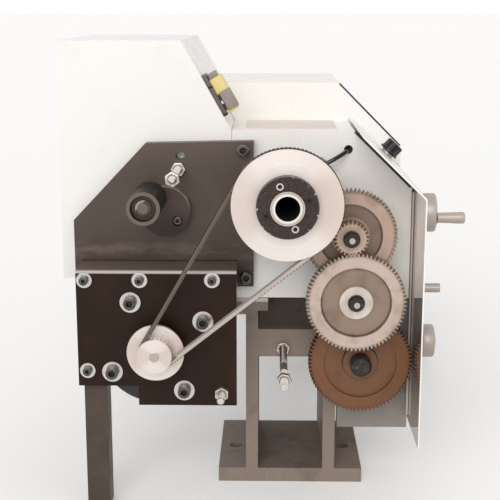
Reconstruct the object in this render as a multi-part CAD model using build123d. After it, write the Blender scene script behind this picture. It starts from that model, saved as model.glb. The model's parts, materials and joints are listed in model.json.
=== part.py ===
from build123d import *
import math
import os

# Bench lathe, drawn in millimetres from one datum: the spindle axis at the left end face of the
# headstock. +X runs to the tailstock, +Y to the rear, +Z up. The last lines move the datum to the
# centre of the bench bolts, on the bench.

# Clearances
way_clearance = 0.3
running_clearance = 0.04
free_clearance = 0.3

# Bed
center_height = 250.0
swing_radius = 90.0
bed_offset = -5.0
bed_start = 8.0
bed_length = 630.0
bed_width = 100.0
way_thickness = 11.0
way_gap = 38.0
wall_spread = 74.0
wall_thickness = 10.0
wall_depth = 64.0
web_drop = 26.6
web_height = 23.2
inner_web_height = 40.0
web_thickness = 12.0
web_count = 6
ridge_inset = 11.0
ridge_width = 12.0
ridge_flat = 3.0
ridge_height = 5.0
foot_length = 110.0
foot_width = 120.0
foot_thickness = 12.0
bench_bolt_inset = 50.0
bench_bolt_spacing = 94.0
bench_bolt_hole = 11.0
rack_pitch = 4.712
rack_width = 8.0
rack_height = 8.0
rack_teeth = 74
rack_start = 240.0

# Headstock
head_length = 215.0
low_length = 81.0
head_rear = 42.6
head_top = 47.0
head_top_front = -52.8
head_front = -99.0
head_shoulder = 2.0
head_bottom = -87.5
raised_top = 79.0
raised_top_front = -45.0
raised_shoulder = 25.0
cover_wall = 2.5
spindle_window = 58.0
casting_foot = 14.0
casting_left = 20.0
pedestal_width = 32.0
casting_setback = 9.0
casting_front = -62.0
pedestal_height = 40.0
pedestal_cut_across = 32.0
pedestal_cut_down = 35.0

# Front panel
panel_overhang = 64.0
panel_gap = 2.2
panel_sheet = 1.2
panel_bottom = -190.0

# Rear box
box_length = 200.0
box_rear = 176.5
box_bottom = -72.0
box_top = 116.0
box_slant_start = 46.7
box_slant_run = 39.0
box_wall = 2.0
box_gap = 0.3

# Spindle
spindle_bore = 18.0
spindle_tail = 25.0
spindle_journal = 30.0
spindle_body = 34.0
spindle_end = 85.0
nose_flange = 72.0
nose_flange_width = 10.0
bearing_outside = 62.0
bearing_width = 16.0
bearing_race = 5.0
bearing_balls = 12

# Belt drive
pulley_face = 72.0
flange_thickness = 1.5
middle_flange = 2.0
belt_pitch = 3.0
belt_width = 8.0
belt_side_room = 0.3
belt_back = 1.2
belt_tooth_depth = 1.2
belt_tooth_width = 1.6
belt_outer_depth = 0.6
belt_lift = 0.1
spindle_front_teeth = 84
spindle_rear_teeth = 72
motor_front_teeth = 24
motor_rear_teeth = 36
spindle_front_lip = 1.2
spindle_middle_lip = 1.2
motor_front_lip = 1.9
motor_middle_lip = 4.7
rear_lip = 1.9
hub_ring_diameter = 45.5
hub_ring_proud = 10.0
hub_screw_circle = 33.0
hub_screw_turn = -20.0
hub_screw_head = 5.5
motor_y = 99.1
motor_z = -115.2

# Change gears
gear_module = 1.0
pressure_angle = 20.0
gear_backlash = 0.2
gear_width = 9.0
gear_plane_gap = 2.0
front_plane = -45.0
spindle_gear_teeth = 45
stud_gear_teeth = 70
stud_pinion_teeth = 25
cluster_gear_teeth = 75
cluster_pinion_teeth = 30
leadscrew_gear_teeth = 80
stud_angle = -148.5
cluster_angle = -95.2
leadscrew_angle = -96.0
gear_rim = 12.0
gear_recess = 2.2
gear_boss = 25.6
gear_axle = 9.0
axle_thread = 4.6
axle_nut_flats = 10.0
axle_nut_width = 4.0
axle_washer = 13.0
axle_washer_thickness = 1.5
axle_end = 2.0
stud_hub = 18.0
cluster_hub = 21.0
axle_collar = 20.0
quadrant_thickness = 6.0
quadrant_gap = 5.0
quadrant_boss = 28.0
quadrant_large = 46.0
quadrant_small = 32.0

# Leadscrew
leadscrew_diameter = 16.0
leadscrew_tail = 10.0
leadscrew_nut_diameter = 16.6
leadscrew_nut_width = 12.0
leadscrew_nut_crown = 2.5
bracket_thickness = 12.0
bracket_start = 6.0
bracket_bottom = -200.0
bracket_reveal = 1.5

# Plates, motor and idler
upper_plate_thickness = 10.0
upper_top = 39.8
upper_fall = 1.8
upper_inner = 25.5
upper_outer = 167.0
upper_corner_y = 109.5
upper_corner_z = -22.7
upper_bottom = -68.0
upper_tab_bottom = -76.0
upper_tab_edge = 38.7
upper_screw_top = (33.7, 32.8)
upper_screw_low = (31.5, -68.2)
spare_hole = (82.6, 28.5)
spare_hole_diameter = 7.0
motor_plate_face = 45.0
motor_plate_thickness = 4.0
motor_plate_inner = 38.0
motor_plate_outer = 161.0
motor_plate_top = -54.5
motor_plate_bottom = -163.0
motor_plate_step_y = 114.4
motor_plate_step_z = -147.3
motor_plate_bend = 3.5
shelf_thickness = 3.0
motor_bolt_circle = 81.5
motor_bolt_turn = 60.0
motor_slot_length = 14.0
motor_slot_width = 6.6
post_diameter = 6.4
post_places = ((154.4, -62.6), (112.0, -62.4), (56.6, -62.2))
leg_screw = (153.6, -134.7)
leg_size = 18.0
leg_inner = 139.5
leg_top = -128.0
motor_flange_diameter = 94.0
motor_flange_width = 12.0
motor_diameter = 80.0
motor_length = 156.0
motor_cap_diameter = 70.0
motor_cap_width = 10.0
motor_shaft_diameter = 7.0
large_screw = 6.0
large_head = 10.0
large_head_height = 6.0
large_socket = 5.0
large_washer = 16.0
small_screw = 4.0
small_head = 7.0
small_head_height = 4.0
small_socket = 3.0
small_washer = 12.0
washer_thickness = 1.2
stud_diameter = 6.0
stud_nut_flats = 10.0
stud_nut_width = 5.0
plate_stud = (84.0, 18.2)
plate_stud_reach = 69.0
plate_stud_tip = 2.5
web_stud = (1.5, -132.0)
web_stud_reach = 92.0
web_stud_tip = 15.5
jack_stud = (49.7, -152.6)
jack_stud_reach = 65.0
idler_center = (94.0, -13.8)
idler_disc_diameter = 39.0
idler_disc_width = 10.0
idler_pivot = (84.4, -21.3)
idler_pivot_screw = 4.0
idler_pivot_head = 7.6
idler_axis = (105.4, -3.0)
idler_roller_diameter = 25.4
idler_roller_front = 70.0
idler_bearing_diameter = 19.0
idler_bearing_width = 7.0
idler_bearing_recess = 4.0
idler_shaft = 8.0
circlip_diameter = 12.0
circlip_thickness = 1.0

# Sensor, switch and controls
sensor_place = (-26.0, 20.5)
sensor_diameter = 7.0
sensor_reach = 46.0
sensor_base = 12.0
sensor_base_width = 5.0
lead_hole = (-48.5, 32.2)
lead_hole_diameter = 7.0
lead_diameter = 3.4
lead_reach = 13.0
switch_length = 24.0
switch_height = 36.0
switch_depth = 3.2
switch_head_depth = 11.8
switch_head_height = 24.0
switch_start = 6.0
switch_up = 12.0
knob_x = 50.0
knob_share = 0.59
knob_diameter = 15.0
knob_height = 7.5
knob_skirt = 17.0
knob_skirt_height = 2.0
knob_shaft = 6.0
knob_stand = 2.5
knob_bush = 11.0
control_height = -45.0
stop_from_end = 30.0
stop_diameter = 28.0
stop_height = 10.0
stop_stem = 12.0
stop_stand = 8.0
direction_from_end = 65.0
direction_diameter = 20.0
direction_height = 15.0
direction_bar = 6.0
direction_shaft = 6.0
direction_stand = 1.0

# Chuck
chuck_diameter = 80.0
chuck_length = 46.0
chuck_bore = 22.0
chuck_back = 10.0
scroll_width = 11.4
scroll_inside = 30.0
scroll_outside = 66.0
jaw_width = 9.6
jaw_inner = 5.0
jaw_outer = 32.0
jaw_step = 17.0
jaw_reach = 14.0
jaw_low_reach = 7.0

# Carriage
carriage_x = 320.0
saddle_length = 90.0
saddle_front = -100.0
saddle_rear = 62.0
saddle_top = -66.0
saddle_hook = 12.0
saddle_hook_reach = 8.0
cross_dovetail_height = 6.0
cross_dovetail_root = 17.0
cross_dovetail_crown = 23.0
cross_slide_length = 70.0
cross_slide_front = -120.0
cross_slide_rear = 20.0
cross_slide_top = -52.0
cross_screw_z = -76.0
cross_screw_diameter = 10.0
cross_nut_front = -45.0
cross_nut_length = 20.0
cross_nut_width = 13.0
cross_nut_bottom = -82.0
cross_slot_front = -70.0
cross_slot_rear = 55.0
cross_slot_width = 16.0
cross_housing_width = 28.0
cross_housing_front = -138.0
cross_wheel_face = -166.5
cross_wheel_width = 14.0
cross_wheel_diameter = 42.0
crank_radius = 15.0
crank_angle = 192.0
crank_diameter = 12.6
crank_length = 29.5
apron_front = -112.0
apron_back = -78.0
apron_rear = -47.0
apron_length = 90.0
apron_box_length = 70.0
apron_bottom = -228.0
apron_box_top = -113.0
apron_wheel_offset = -22.0
apron_wheel_z = -214.0
apron_wheel_face = -168.5
apron_wheel_width = 16.0
apron_wheel_diameter = 36.0
apron_shaft = 10.0
half_nut_length = 30.0
half_nut_width = 22.0
half_nut_height = 20.0
half_nut_drop = 4.0
half_nut_room = 20.0
lever_offset = 15.0
lever_z = -157.0
lever_shaft = 8.0
lever_hub = 18.0
lever_hub_width = 13.0
lever_arm = 28.0
lever_arm_width = 9.0
lever_knob = 10.0
lever_knob_length = 56.0
compound_y = -80.0
compound_disc = 60.0
compound_length = 94.0
compound_width = 48.0
compound_disc_top = -47.0
compound_top = -44.0
top_dovetail_height = 6.0
top_dovetail_root = 13.0
top_dovetail_crown = 18.0
top_slide_left = 42.0
top_slide_right = 38.0
top_slide_width = 56.0
top_slide_top = -24.0
top_screw_z = -31.0
top_screw_diameter = 8.0
top_bracket = 8.0
top_bracket_top = -22.0
top_wheel_stand = 5.0
top_wheel_width = 10.0
top_wheel_diameter = 32.0
tool_post_size = 56.0
tool_post_top = 13.0
tool_slot_bottom = -11.0
tool_slot_top = 5.0
tool_slot_depth = 14.0
tool_post_stud = 12.0
tool_screw_diameter = 6.0
tool_screw_height = 5.0
tool_screw_spacing = 30.0
clamp_hub = 22.0
clamp_hub_height = 14.0
clamp_arm = 8.0
clamp_arm_length = 55.0
clamp_arm_turn = 90.0
clamp_arm_tilt = 25.0
clamp_knob = 16.0

# Tailstock
tail_x = 540.0
tail_length = 90.0
tail_base_top = -62.0
tail_column = 54.0
tail_barrel = 48.0
tail_barrel_start = 6.0
quill_diameter = 24.0
quill_length = 100.0
quill_proud = 8.0
quill_socket = 17.8
quill_socket_depth = 55.0
tail_screw = 10.0
tail_cap = 24.0
tail_cap_diameter = 36.0
tail_wheel_width = 14.0
tail_wheel_diameter = 64.0
tail_clamp_length = 40.0
tail_clamp_thickness = 10.0
tail_bolt = 10.0
tail_nut_flats = 17.0
tail_nut_height = 8.0
quill_lock_x = 32.0
quill_lock_shaft = 8.0
quill_lock_hub = 14.0
quill_lock_hub_height = 12.0
quill_lock_arm = 42.0
quill_lock_knob = 12.0

# Worked-out places
way_top = -swing_radius
way_under = way_top - way_thickness
bed_end = bed_start + bed_length
bed_front = bed_offset - bed_width / 2
bed_rear = bed_offset + bed_width / 2
wall_out_front = bed_offset - wall_spread / 2
wall_out_rear = bed_offset + wall_spread / 2
wall_in_front = wall_out_front + wall_thickness
wall_in_rear = wall_out_rear - wall_thickness
wall_bottom = way_under - wall_depth
bench_z = -center_height
foot_top = bench_z + foot_thickness
web_top = way_top - web_drop
bolt_left = bed_start + bench_bolt_inset
bolt_right = bed_end - bench_bolt_inset
bolt_center_x = (bolt_left + bolt_right) / 2
ridge_places = (bed_front + ridge_inset, bed_rear - ridge_inset)

middle_plane = front_plane + gear_width + gear_plane_gap
rear_plane = middle_plane + gear_width + gear_plane_gap
rear_plane_end = rear_plane + gear_width


def polar(radius, angle, center=(0.0, 0.0)):
    """A point of a plane, at an angle in degrees from its first axis towards its second."""
    turn = math.radians(angle)
    return (center[0] + radius * math.cos(turn), center[1] + radius * math.sin(turn))


def mesh_distance(teeth_a, teeth_b):
    """Centre distance of two meshed gears."""
    return gear_module * (teeth_a + teeth_b) / 2


stud_place = polar(mesh_distance(spindle_gear_teeth, stud_gear_teeth), stud_angle)
cluster_place = polar(mesh_distance(stud_pinion_teeth, cluster_gear_teeth), cluster_angle, stud_place)
leadscrew_place = polar(
    mesh_distance(cluster_pinion_teeth, leadscrew_gear_teeth), leadscrew_angle, cluster_place
)
leadscrew_y, leadscrew_z = leadscrew_place

step_width = belt_width + 2 * belt_side_room
front_step = -pulley_face + flange_thickness
step_break = front_step + step_width
rear_step = step_break + middle_flange
pulley_back = rear_step + step_width + flange_thickness
nose_start = head_length + 1.0
casting_rear = head_rear - cover_wall
casting_right = head_length - casting_setback
stop_x = head_length - stop_from_end
direction_x = head_length - direction_from_end
nose_end = nose_start + nose_flange_width
rear_bearing_x = casting_left + pedestal_width / 2
front_bearing_x = casting_right - pedestal_width / 2


# Shape helpers


def block(x0, x1, y0, y1, z0, z1):
    """A box from its six limits."""
    middle = Pos((x0 + x1) / 2, (y0 + y1) / 2, (z0 + z1) / 2)
    return middle * Box(x1 - x0, y1 - y0, z1 - z0)


def rod_x(diameter, x0, x1, y=0.0, z=0.0):
    """A round bar along X."""
    return Pos((x0 + x1) / 2, y, z) * Rot(0, 90, 0) * Cylinder(diameter / 2, x1 - x0)


def rod_y(diameter, y0, y1, x, z):
    """A round bar along Y."""
    return Pos(x, (y0 + y1) / 2, z) * Rot(90, 0, 0) * Cylinder(diameter / 2, y1 - y0)


def rod_z(diameter, z0, z1, x, y):
    """A round bar along Z."""
    return Pos(x, y, (z0 + z1) / 2) * Cylinder(diameter / 2, z1 - z0)


def tube_x(outside, inside, x0, x1, y=0.0, z=0.0):
    """A ring along X."""
    return rod_x(outside, x0, x1, y, z) - rod_x(inside, x0 - 1, x1 + 1, y, z)


def slab_x(face, x0, x1):
    """A Y-Z face drawn out along X."""
    return extrude(Plane.YZ.offset(x0) * face, amount=x1 - x0, dir=(1, 0, 0))


def prism_x(points, x0, x1):
    """A block with a Y-Z outline."""
    return slab_x(Polygon(*points, align=None), x0, x1)


def prism_y(points, y0, y1):
    """A block with an X-Z outline."""
    plane = Plane(origin=(0, y1, 0), x_dir=(1, 0, 0), z_dir=(0, -1, 0))
    return extrude(plane * Polygon(*points, align=None), amount=y1 - y0, dir=(0, -1, 0))


def hex_x(flats, x0, x1, y, z, turn=0.0):
    """A hexagonal bar along X."""
    return slab_x(Pos(y, z) * Rot(0, 0, turn) * RegularPolygon(flats / math.sqrt(3), 6), x0, x1)


def group(*shapes):
    """Several separate solids kept together in one node."""
    return Compound([solid for shape in shapes for solid in shape.solids()])


def cap_screw(thread, head, head_height, socket, seat, length, place):
    """A socket cap screw that points to +X, with its head seated at X = seat."""
    y, z = place
    screw = rod_x(head, seat - head_height, seat, y, z) + rod_x(thread, seat, seat + length, y, z)
    return screw - hex_x(socket, seat - head_height - 1, seat - head_height / 2, y, z)


def washer_x(outside, inside, seat, thickness, place):
    """A flat washer whose back is at X = seat."""
    return tube_x(outside, inside, seat - thickness, seat, *place)


def ridge_outline(place, room):
    """One inverted V of the ways, grown by room for the groove that rides on it."""
    foot = way_top - (1.0 if room else 0.0)
    crown = way_top + ridge_height + room
    half, flat = ridge_width / 2 + room, ridge_flat / 2 + room
    return [(place - half, foot), (place - half, way_top), (place - flat, crown),
            (place + flat, crown), (place + half, way_top), (place + half, foot)]


def way_grooves(x0, x1):
    """The two grooves that clear the ridges of the ways."""
    return [prism_x(ridge_outline(place, way_clearance), x0 - 1, x1 + 1) for place in ridge_places]


def dovetail(root, crown, height, center, base):
    """The outline of a male dovetail: across, up."""
    return [(center - root, base - 0.5), (center - root, base), (center - crown, base + height),
            (center + crown, base + height), (center + root, base), (center + root, base - 0.5)]


def dovetail_slot(root, crown, height, center, base):
    """The female outline, grown by the way clearance."""
    grow = way_clearance
    return [(center - root - grow, base - 1), (center - root - grow, base),
            (center - crown - grow, base + height + grow), (center + crown + grow, base + height + grow),
            (center + root + grow, base), (center + root + grow, base - 1)]


# Gear teeth


def involute(angle):
    """The involute of an angle in radians."""
    return math.tan(angle) - angle


def gear_outline(teeth, turn):
    """Outline of a spur gear with one tooth centred at an angle of turn degrees."""
    pressure = math.radians(pressure_angle)
    pitch_radius = gear_module * teeth / 2
    base_radius = pitch_radius * math.cos(pressure)
    tip_radius = pitch_radius + gear_module
    root_radius = pitch_radius - 1.25 * gear_module
    half_pitch = math.pi / (2 * teeth) - gear_backlash / (4 * pitch_radius)

    def half_angle(radius):
        slope = math.acos(min(1.0, base_radius / radius))
        return half_pitch + involute(pressure) - involute(slope)

    start_radius = max(base_radius, root_radius)
    flank = [(root_radius, half_angle(start_radius))] if root_radius < base_radius else []
    flank += [(radius, half_angle(radius)) for radius in (start_radius, pitch_radius, tip_radius)]
    points = []
    for tooth in range(teeth):
        middle = math.radians(turn) + 2 * math.pi * tooth / teeth
        for radius, half in flank:
            points.append((radius * math.cos(middle - half), radius * math.sin(middle - half)))
        for radius, half in reversed(flank):
            points.append((radius * math.cos(middle + half), radius * math.sin(middle + half)))
    return points


def gear_wheel(teeth, turn, front, place, bore):
    """A spur gear along X with its front face at X = front."""
    outline = Pos(*place) * Polygon(*gear_outline(teeth, turn), align=None)
    wheel = slab_x(outline, front, front + gear_width)
    return wheel - rod_x(bore, front - 1, front + gear_width + 1, *place)


def dished(wheel, teeth, front, place, boss):
    """Cuts the turned recess between the rim and the boss into a wheel's front face."""
    rim = gear_module * (teeth + 2) - 2 * gear_rim
    return wheel - tube_x(rim, boss, front - 1, front + gear_recess, *place)


def facing_space(teeth, angle):
    """The turn that puts a space between two teeth at an angle."""
    return angle + 180.0 / teeth


# Bed


def make_bed():
    """Cast bed with ways, walls, webs and feet as solids that meet, and the feed rack under its front way."""
    solids = []
    for low, high in ((bed_front, bed_offset - way_gap / 2), (bed_offset + way_gap / 2, bed_rear)):
        way = block(bed_start, bed_end, low, high, way_under, way_top)
        ridges = [place for place in ridge_places if low < place < high]
        solids.append(way + [prism_x(ridge_outline(place, 0.0), bed_start, bed_end) for place in ridges])
    foot_spans = ((bed_start, bed_start + foot_length), (bed_end - foot_length, bed_end))
    for inner, outer in ((wall_in_front, wall_out_front), (wall_in_rear, wall_out_rear)):
        low, high = min(inner, outer), max(inner, outer)
        solids.append(block(bed_start, bed_end, low, high, wall_bottom, way_under))
        solids += [block(x0, x1, low, high, foot_top, wall_bottom) for x0, x1 in foot_spans]
    web_step = (bed_length - web_thickness) / (web_count - 1)
    for index in range(web_count):
        x0 = bed_start + index * web_step
        height = inner_web_height if index else web_height
        web = block(x0, x0 + web_thickness, wall_in_front, wall_in_rear, web_top - height, web_top)
        solids.append(web - rod_x(stud_diameter, bed_start - 1, bed_start + web_thickness, *web_stud))
    half_foot = foot_width / 2
    for (x0, x1), x in zip(foot_spans, (bolt_left, bolt_right)):
        foot = block(x0, x1, bed_offset - half_foot, bed_offset + half_foot, bench_z, foot_top)
        for side in (-1, 1):
            y = bed_offset + side * bench_bolt_spacing / 2
            foot -= rod_z(bench_bolt_hole, bench_z - 1, foot_top + 1, x, y)
        solids.append(foot)
    return group(*solids, make_rack())


def make_rack():
    """Feed rack with its teeth downwards."""
    top, bottom = way_under, way_under - rack_height
    root = bottom + 0.4 * rack_pitch
    points = [(rack_start + rack_teeth * rack_pitch, top), (rack_start, top)]
    for tooth in range(rack_teeth):
        x = rack_start + tooth * rack_pitch
        shares = ((0.0, root), (0.2, bottom), (0.5, bottom), (0.7, root))
        points += [(x + share * rack_pitch, z) for share, z in shares]
    points.append((rack_start + rack_teeth * rack_pitch, root))
    return prism_y(points, bed_front + 1.0, bed_front + 1.0 + rack_width)


# Headstock


def low_outline(shrink=0.0):
    """Y-Z outline of the lower, left part of the headstock cover."""
    corners = [(head_rear, head_bottom), (head_rear, head_top), (head_top_front, head_top),
               (head_front, head_shoulder), (head_front, head_bottom)]
    return shrunk(corners, shrink)


def raised_outline(shrink=0.0):
    """Y-Z outline of the raised, right part of the headstock cover."""
    corners = [(head_rear, head_bottom), (head_rear, box_slant_start), (raised_rear(), raised_top),
               (raised_top_front, raised_top), (head_front, raised_shoulder), (head_front, head_bottom)]
    return shrunk(corners, shrink)


def raised_rear():
    """Where the raised part's rear slant, which lies along the rear box, reaches its top."""
    run = box_slant_run / (box_top - box_slant_start)
    return head_rear + run * (raised_top - box_slant_start)


def shrunk(corners, amount):
    """An outline drawn in by a wall, left open at the bottom."""
    face = Polygon(*corners, align=None)
    if not amount:
        return face
    inner = offset(face, amount=-amount, kind=Kind.INTERSECTION)
    low = Pos(0, head_bottom) * Rectangle(400, 4 * amount)
    return inner + (low & Pos(0, 0) * inner_strip(corners, amount))


def inner_strip(corners, amount):
    """The inside width of an outline at its open bottom."""
    ys = [y for y, _ in corners]
    left, right = min(ys) + amount, max(y for y, z in corners if z == head_bottom) - amount
    return Pos((left + right) / 2, head_bottom) * Rectangle(right - left, 8 * amount)


def make_headstock_cover():
    """Painted sheet cover with a stepped top, open underneath."""
    cover = slab_x(low_outline(), 0, low_length) + slab_x(raised_outline(), low_length, head_length)
    cover -= slab_x(low_outline(cover_wall), cover_wall, low_length + cover_wall + 1)
    cover -= slab_x(raised_outline(cover_wall), low_length + cover_wall, head_length - cover_wall)
    cover -= rod_x(spindle_window, -1, cover_wall + 1)
    cover -= rod_x(nose_flange + 4, head_length - cover_wall - 1, head_length + 1)
    cover -= rod_x(gear_axle + 2 * free_clearance, -1, cover_wall + 1, *stud_place)
    cover -= rod_x(lead_hole_diameter, -1, cover_wall + 1, *lead_hole)
    notch_top = way_top + ridge_height + 2 * free_clearance
    cover -= block(head_length - cover_wall - 1, head_length + 1, bed_front - 1, bed_rear + 1,
                   head_bottom - 1, notch_top)
    for hole, x in ((stop_stem, stop_x), (direction_shaft, direction_x)):
        bore = Cylinder(hole / 2 + running_clearance, 4 * cover_wall)
        cover -= control_plane(x) * bore
    return cover


def control_plane(x):
    """A plane on the upright front of the raised part, with its normal out of the face."""
    return Plane(origin=(x, head_front, control_height), x_dir=(1, 0, 0), z_dir=(0, -1, 0))


def make_headstock_casting():
    """Casting on the ways with two pedestals for the bearings."""
    casting = block(casting_left, casting_right, casting_front, casting_rear, way_top, way_top + casting_foot)
    pedestal = [(casting_rear, way_top), (casting_rear, pedestal_height),
                (casting_front + pedestal_cut_across, pedestal_height),
                (casting_front, pedestal_height - pedestal_cut_down), (casting_front, way_top)]
    for x0, x1 in ((casting_left, casting_left + pedestal_width), (casting_right - pedestal_width, casting_right)):
        casting += prism_x(pedestal, x0, x1)
        casting -= rod_x(spindle_body + 6, x0 - 1, x1 + 1)
    for x in (rear_bearing_x, front_bearing_x):
        casting -= rod_x(bearing_outside, x - bearing_width / 2, x + bearing_width / 2)
    casting -= rod_x(bearing_outside, casting_left - 1, rear_bearing_x)
    casting -= rod_x(bearing_outside, front_bearing_x, casting_right + 1)
    casting -= rod_x(gear_axle, casting_left - 1, casting_left + pedestal_width / 2, *stud_place)
    casting -= way_grooves(casting_left, casting_right)
    return casting


def make_spindle_bearings():
    """Two ball bearings, each an outer ring, an inner ring and its balls."""
    pieces = []
    ball_circle = (bearing_outside + spindle_journal) / 4
    gap = (bearing_outside - spindle_journal) / 2 - 2 * bearing_race
    for x in (rear_bearing_x, front_bearing_x):
        x0, x1 = x - bearing_width / 2, x + bearing_width / 2
        pieces.append(tube_x(bearing_outside, bearing_outside - 2 * bearing_race, x0, x1))
        pieces.append(tube_x(spindle_journal + 2 * bearing_race, spindle_journal, x0, x1))
        for ball in range(bearing_balls):
            y, z = polar(ball_circle, 360 * ball / bearing_balls)
            pieces.append(Pos(x, y, z) * Sphere(gap / 2 - running_clearance))
    return group(*pieces)


# Front panel and rear box


def slant_normal():
    """Unit normal of the lower slanted face, out of the headstock."""
    run, rise = head_top_front - head_front, head_top - head_shoulder
    length = math.hypot(run, rise)
    return (-rise / length, run / length)


def panel_line(stand):
    """The slant and the upright of the front panel, at a stand-off from the cover."""
    ny, nz = slant_normal()
    top = (head_top_front + stand * ny, head_top + stand * nz)
    front = head_front - stand
    drop = (top[0] - front) * (head_top - head_shoulder) / (head_top_front - head_front)
    return [top, (front, top[1] - drop), (front, panel_bottom)]


def make_front_panel():
    """Bent sheet in front of the gears with the lower slanted control face, and the knob's bush."""
    inner, outer = panel_line(panel_gap), panel_line(panel_gap + panel_sheet)
    panel = prism_x(inner + outer[::-1], -panel_overhang, low_length - 1)
    bore = Cylinder(knob_shaft / 2 + running_clearance, 4 * knob_stand)
    bush_height = knob_stand - free_clearance
    bush = Pos(0, 0, bush_height / 2) * Cylinder(knob_bush / 2, bush_height) - bore
    return group(panel - knob_plane() * bore, knob_plane() * bush)


def knob_plane():
    """A plane on the outside of the lower slanted face, at the speed knob."""
    ny, nz = slant_normal()
    top, shoulder = panel_line(panel_gap + panel_sheet)[:2]
    y = top[0] + knob_share * (shoulder[0] - top[0])
    z = top[1] + knob_share * (shoulder[1] - top[1])
    return Plane(origin=(knob_x, y, z), x_dir=(1, 0, 0), z_dir=(0, ny, nz))


def box_outline():
    """Y-Z outline of the rear box."""
    front = head_rear + box_gap
    return [(front, box_bottom), (front, box_slant_start), (front + box_slant_run, box_top),
            (box_rear, box_top), (box_rear, box_bottom)]


def make_rear_box():
    """Sheet box for the motor drive, open to the rear, and its flat lid."""
    face = Polygon(*box_outline(), align=None)
    inner = offset(face, amount=-box_wall, kind=Kind.INTERSECTION)
    mouth_height = box_top - box_bottom - 2 * box_wall
    mouth = Pos(box_rear, (box_top + box_bottom) / 2) * Rectangle(20 * box_wall, mouth_height)
    box = slab_x(face, 0, box_length) - slab_x(inner + mouth, box_wall, box_length - box_wall)
    lid = block(0, box_length, box_rear, box_rear + box_wall, box_bottom, box_top)
    return group(box, lid)


def slant_plane(x, up):
    """A plane on the rear box's slanted face, a distance up from its lower edge."""
    run, rise = box_slant_run, box_top - box_slant_start
    length = math.hypot(run, rise)
    y = head_rear + box_gap + up * run / length
    z = box_slant_start + up * rise / length
    return Plane(origin=(x, y, z), x_dir=(1, 0, 0), z_dir=(0, -rise, run))


def make_interlock_switch():
    """Cover switch: a base and a slotted head on the slanted face of the rear box."""
    plane = slant_plane(switch_start + switch_length / 2, switch_up + switch_height / 2)
    base = plane * Pos(0, 0, switch_depth / 2) * Box(switch_length, switch_height, switch_depth)
    head_shape = Box(switch_length - 4, switch_head_height, switch_head_depth)
    slot = Pos(-switch_length / 2, 0, 0) * Box(switch_length, switch_head_height / 4, switch_head_depth / 3)
    head = plane * Pos(0, 0, switch_depth + switch_head_depth / 2) * (head_shape - slot)
    return group(base, head)


# Spindle and its pulley


def make_spindle():
    """Hollow spindle with journals, a tail for the pulley and a nose flange."""
    spindle = rod_x(spindle_tail, -spindle_end, casting_left - 2)
    journal = spindle_journal - 2 * running_clearance
    spindle += rod_x(journal, casting_left - 2, rear_bearing_x + bearing_width / 2)
    spindle += rod_x(spindle_body, rear_bearing_x + bearing_width / 2, front_bearing_x - bearing_width / 2)
    spindle += rod_x(journal, front_bearing_x - bearing_width / 2, nose_start)
    spindle += rod_x(nose_flange, nose_start, nose_end)
    return spindle - rod_x(spindle_bore, -spindle_end - 1, nose_end + 1)


def pulley_radius(teeth):
    """Outside radius of a toothed step."""
    return belt_pitch * teeth / (2 * math.pi) - belt_lift


def toothed_step(teeth, x0, x1, place):
    """A toothed rim with plain trapezoid grooves."""
    radius = pulley_radius(teeth)
    root = radius - belt_tooth_depth
    points = []
    for tooth in range(teeth):
        for share, reach in ((-0.24, root), (-0.18, radius), (0.18, radius), (0.24, root)):
            points.append(polar(reach, 360 * (tooth + share) / teeth, place))
    return prism_x(points, x0, x1)


def stepped_pulley(front_teeth, rear_teeth, place, bore, front_lip, middle_lip):
    """Two toothed steps between three flanges."""
    front = 2 * (pulley_radius(front_teeth) + front_lip)
    middle = 2 * (pulley_radius(max(front_teeth, rear_teeth)) + middle_lip)
    rear = 2 * (pulley_radius(rear_teeth) + rear_lip)
    pulley = rod_x(front, -pulley_face, front_step, *place)
    pulley += toothed_step(front_teeth, front_step, step_break, place)
    pulley += rod_x(middle, step_break, rear_step, *place)
    pulley += toothed_step(rear_teeth, rear_step, rear_step + step_width, place)
    pulley += rod_x(rear, rear_step + step_width, pulley_back, *place)
    return pulley - rod_x(bore, -pulley_face - 1, pulley_back + 1, *place)


def make_spindle_pulley():
    """Large turned pulley on the spindle's tail."""
    place = (0.0, 0.0)
    return stepped_pulley(spindle_front_teeth, spindle_rear_teeth, place, spindle_tail,
                          spindle_front_lip, spindle_middle_lip)


def hub_screw_places():
    """Centres of the four screws of the hub ring."""
    return [polar(hub_screw_circle / 2, hub_screw_turn + 90 * index) for index in range(4)]


def make_hub_ring():
    """Black clamping ring on the pulley's face."""
    face = -pulley_face - hub_ring_proud
    ring = tube_x(hub_ring_diameter, spindle_tail, face, -pulley_face)
    for place in hub_screw_places():
        ring -= rod_x(hub_screw_head, face - 1, face + hub_ring_proud / 2, *place)
    return ring


def make_hub_ring_screws():
    """Four socket screws sunk in the hub ring."""
    face = -pulley_face - hub_ring_proud
    sunk = face + hub_ring_proud / 2
    screws = []
    for place in hub_screw_places():
        screw = rod_x(hub_screw_head, face + 0.6, sunk, *place)
        screws.append(screw - hex_x(hub_screw_head / 2, face, sunk - 1.5, *place))
    return group(*screws)


def make_spindle_gear():
    """Gear on the spindle behind the pulley."""
    return gear_wheel(spindle_gear_teeth, stud_angle, middle_plane, (0.0, 0.0), spindle_tail)


# Motor and belt


def make_motor():
    """Closed motor with a mounting flange and a rear cap."""
    start = -motor_plate_face + motor_plate_thickness
    place = (motor_y, motor_z)
    body_end = start + motor_length
    motor = rod_x(motor_flange_diameter, start, start + motor_flange_width, *place)
    motor += rod_x(motor_diameter, start + motor_flange_width, body_end, *place)
    motor += rod_x(motor_cap_diameter, body_end, body_end + motor_cap_width, *place)
    motor -= rod_x(motor_shaft_diameter + 2 * running_clearance, start - 1, start + motor_length / 2, *place)
    for bolt in motor_bolt_places():
        motor -= rod_x(large_screw, start - 1, start + motor_flange_width, *bolt)
    return motor


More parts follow.
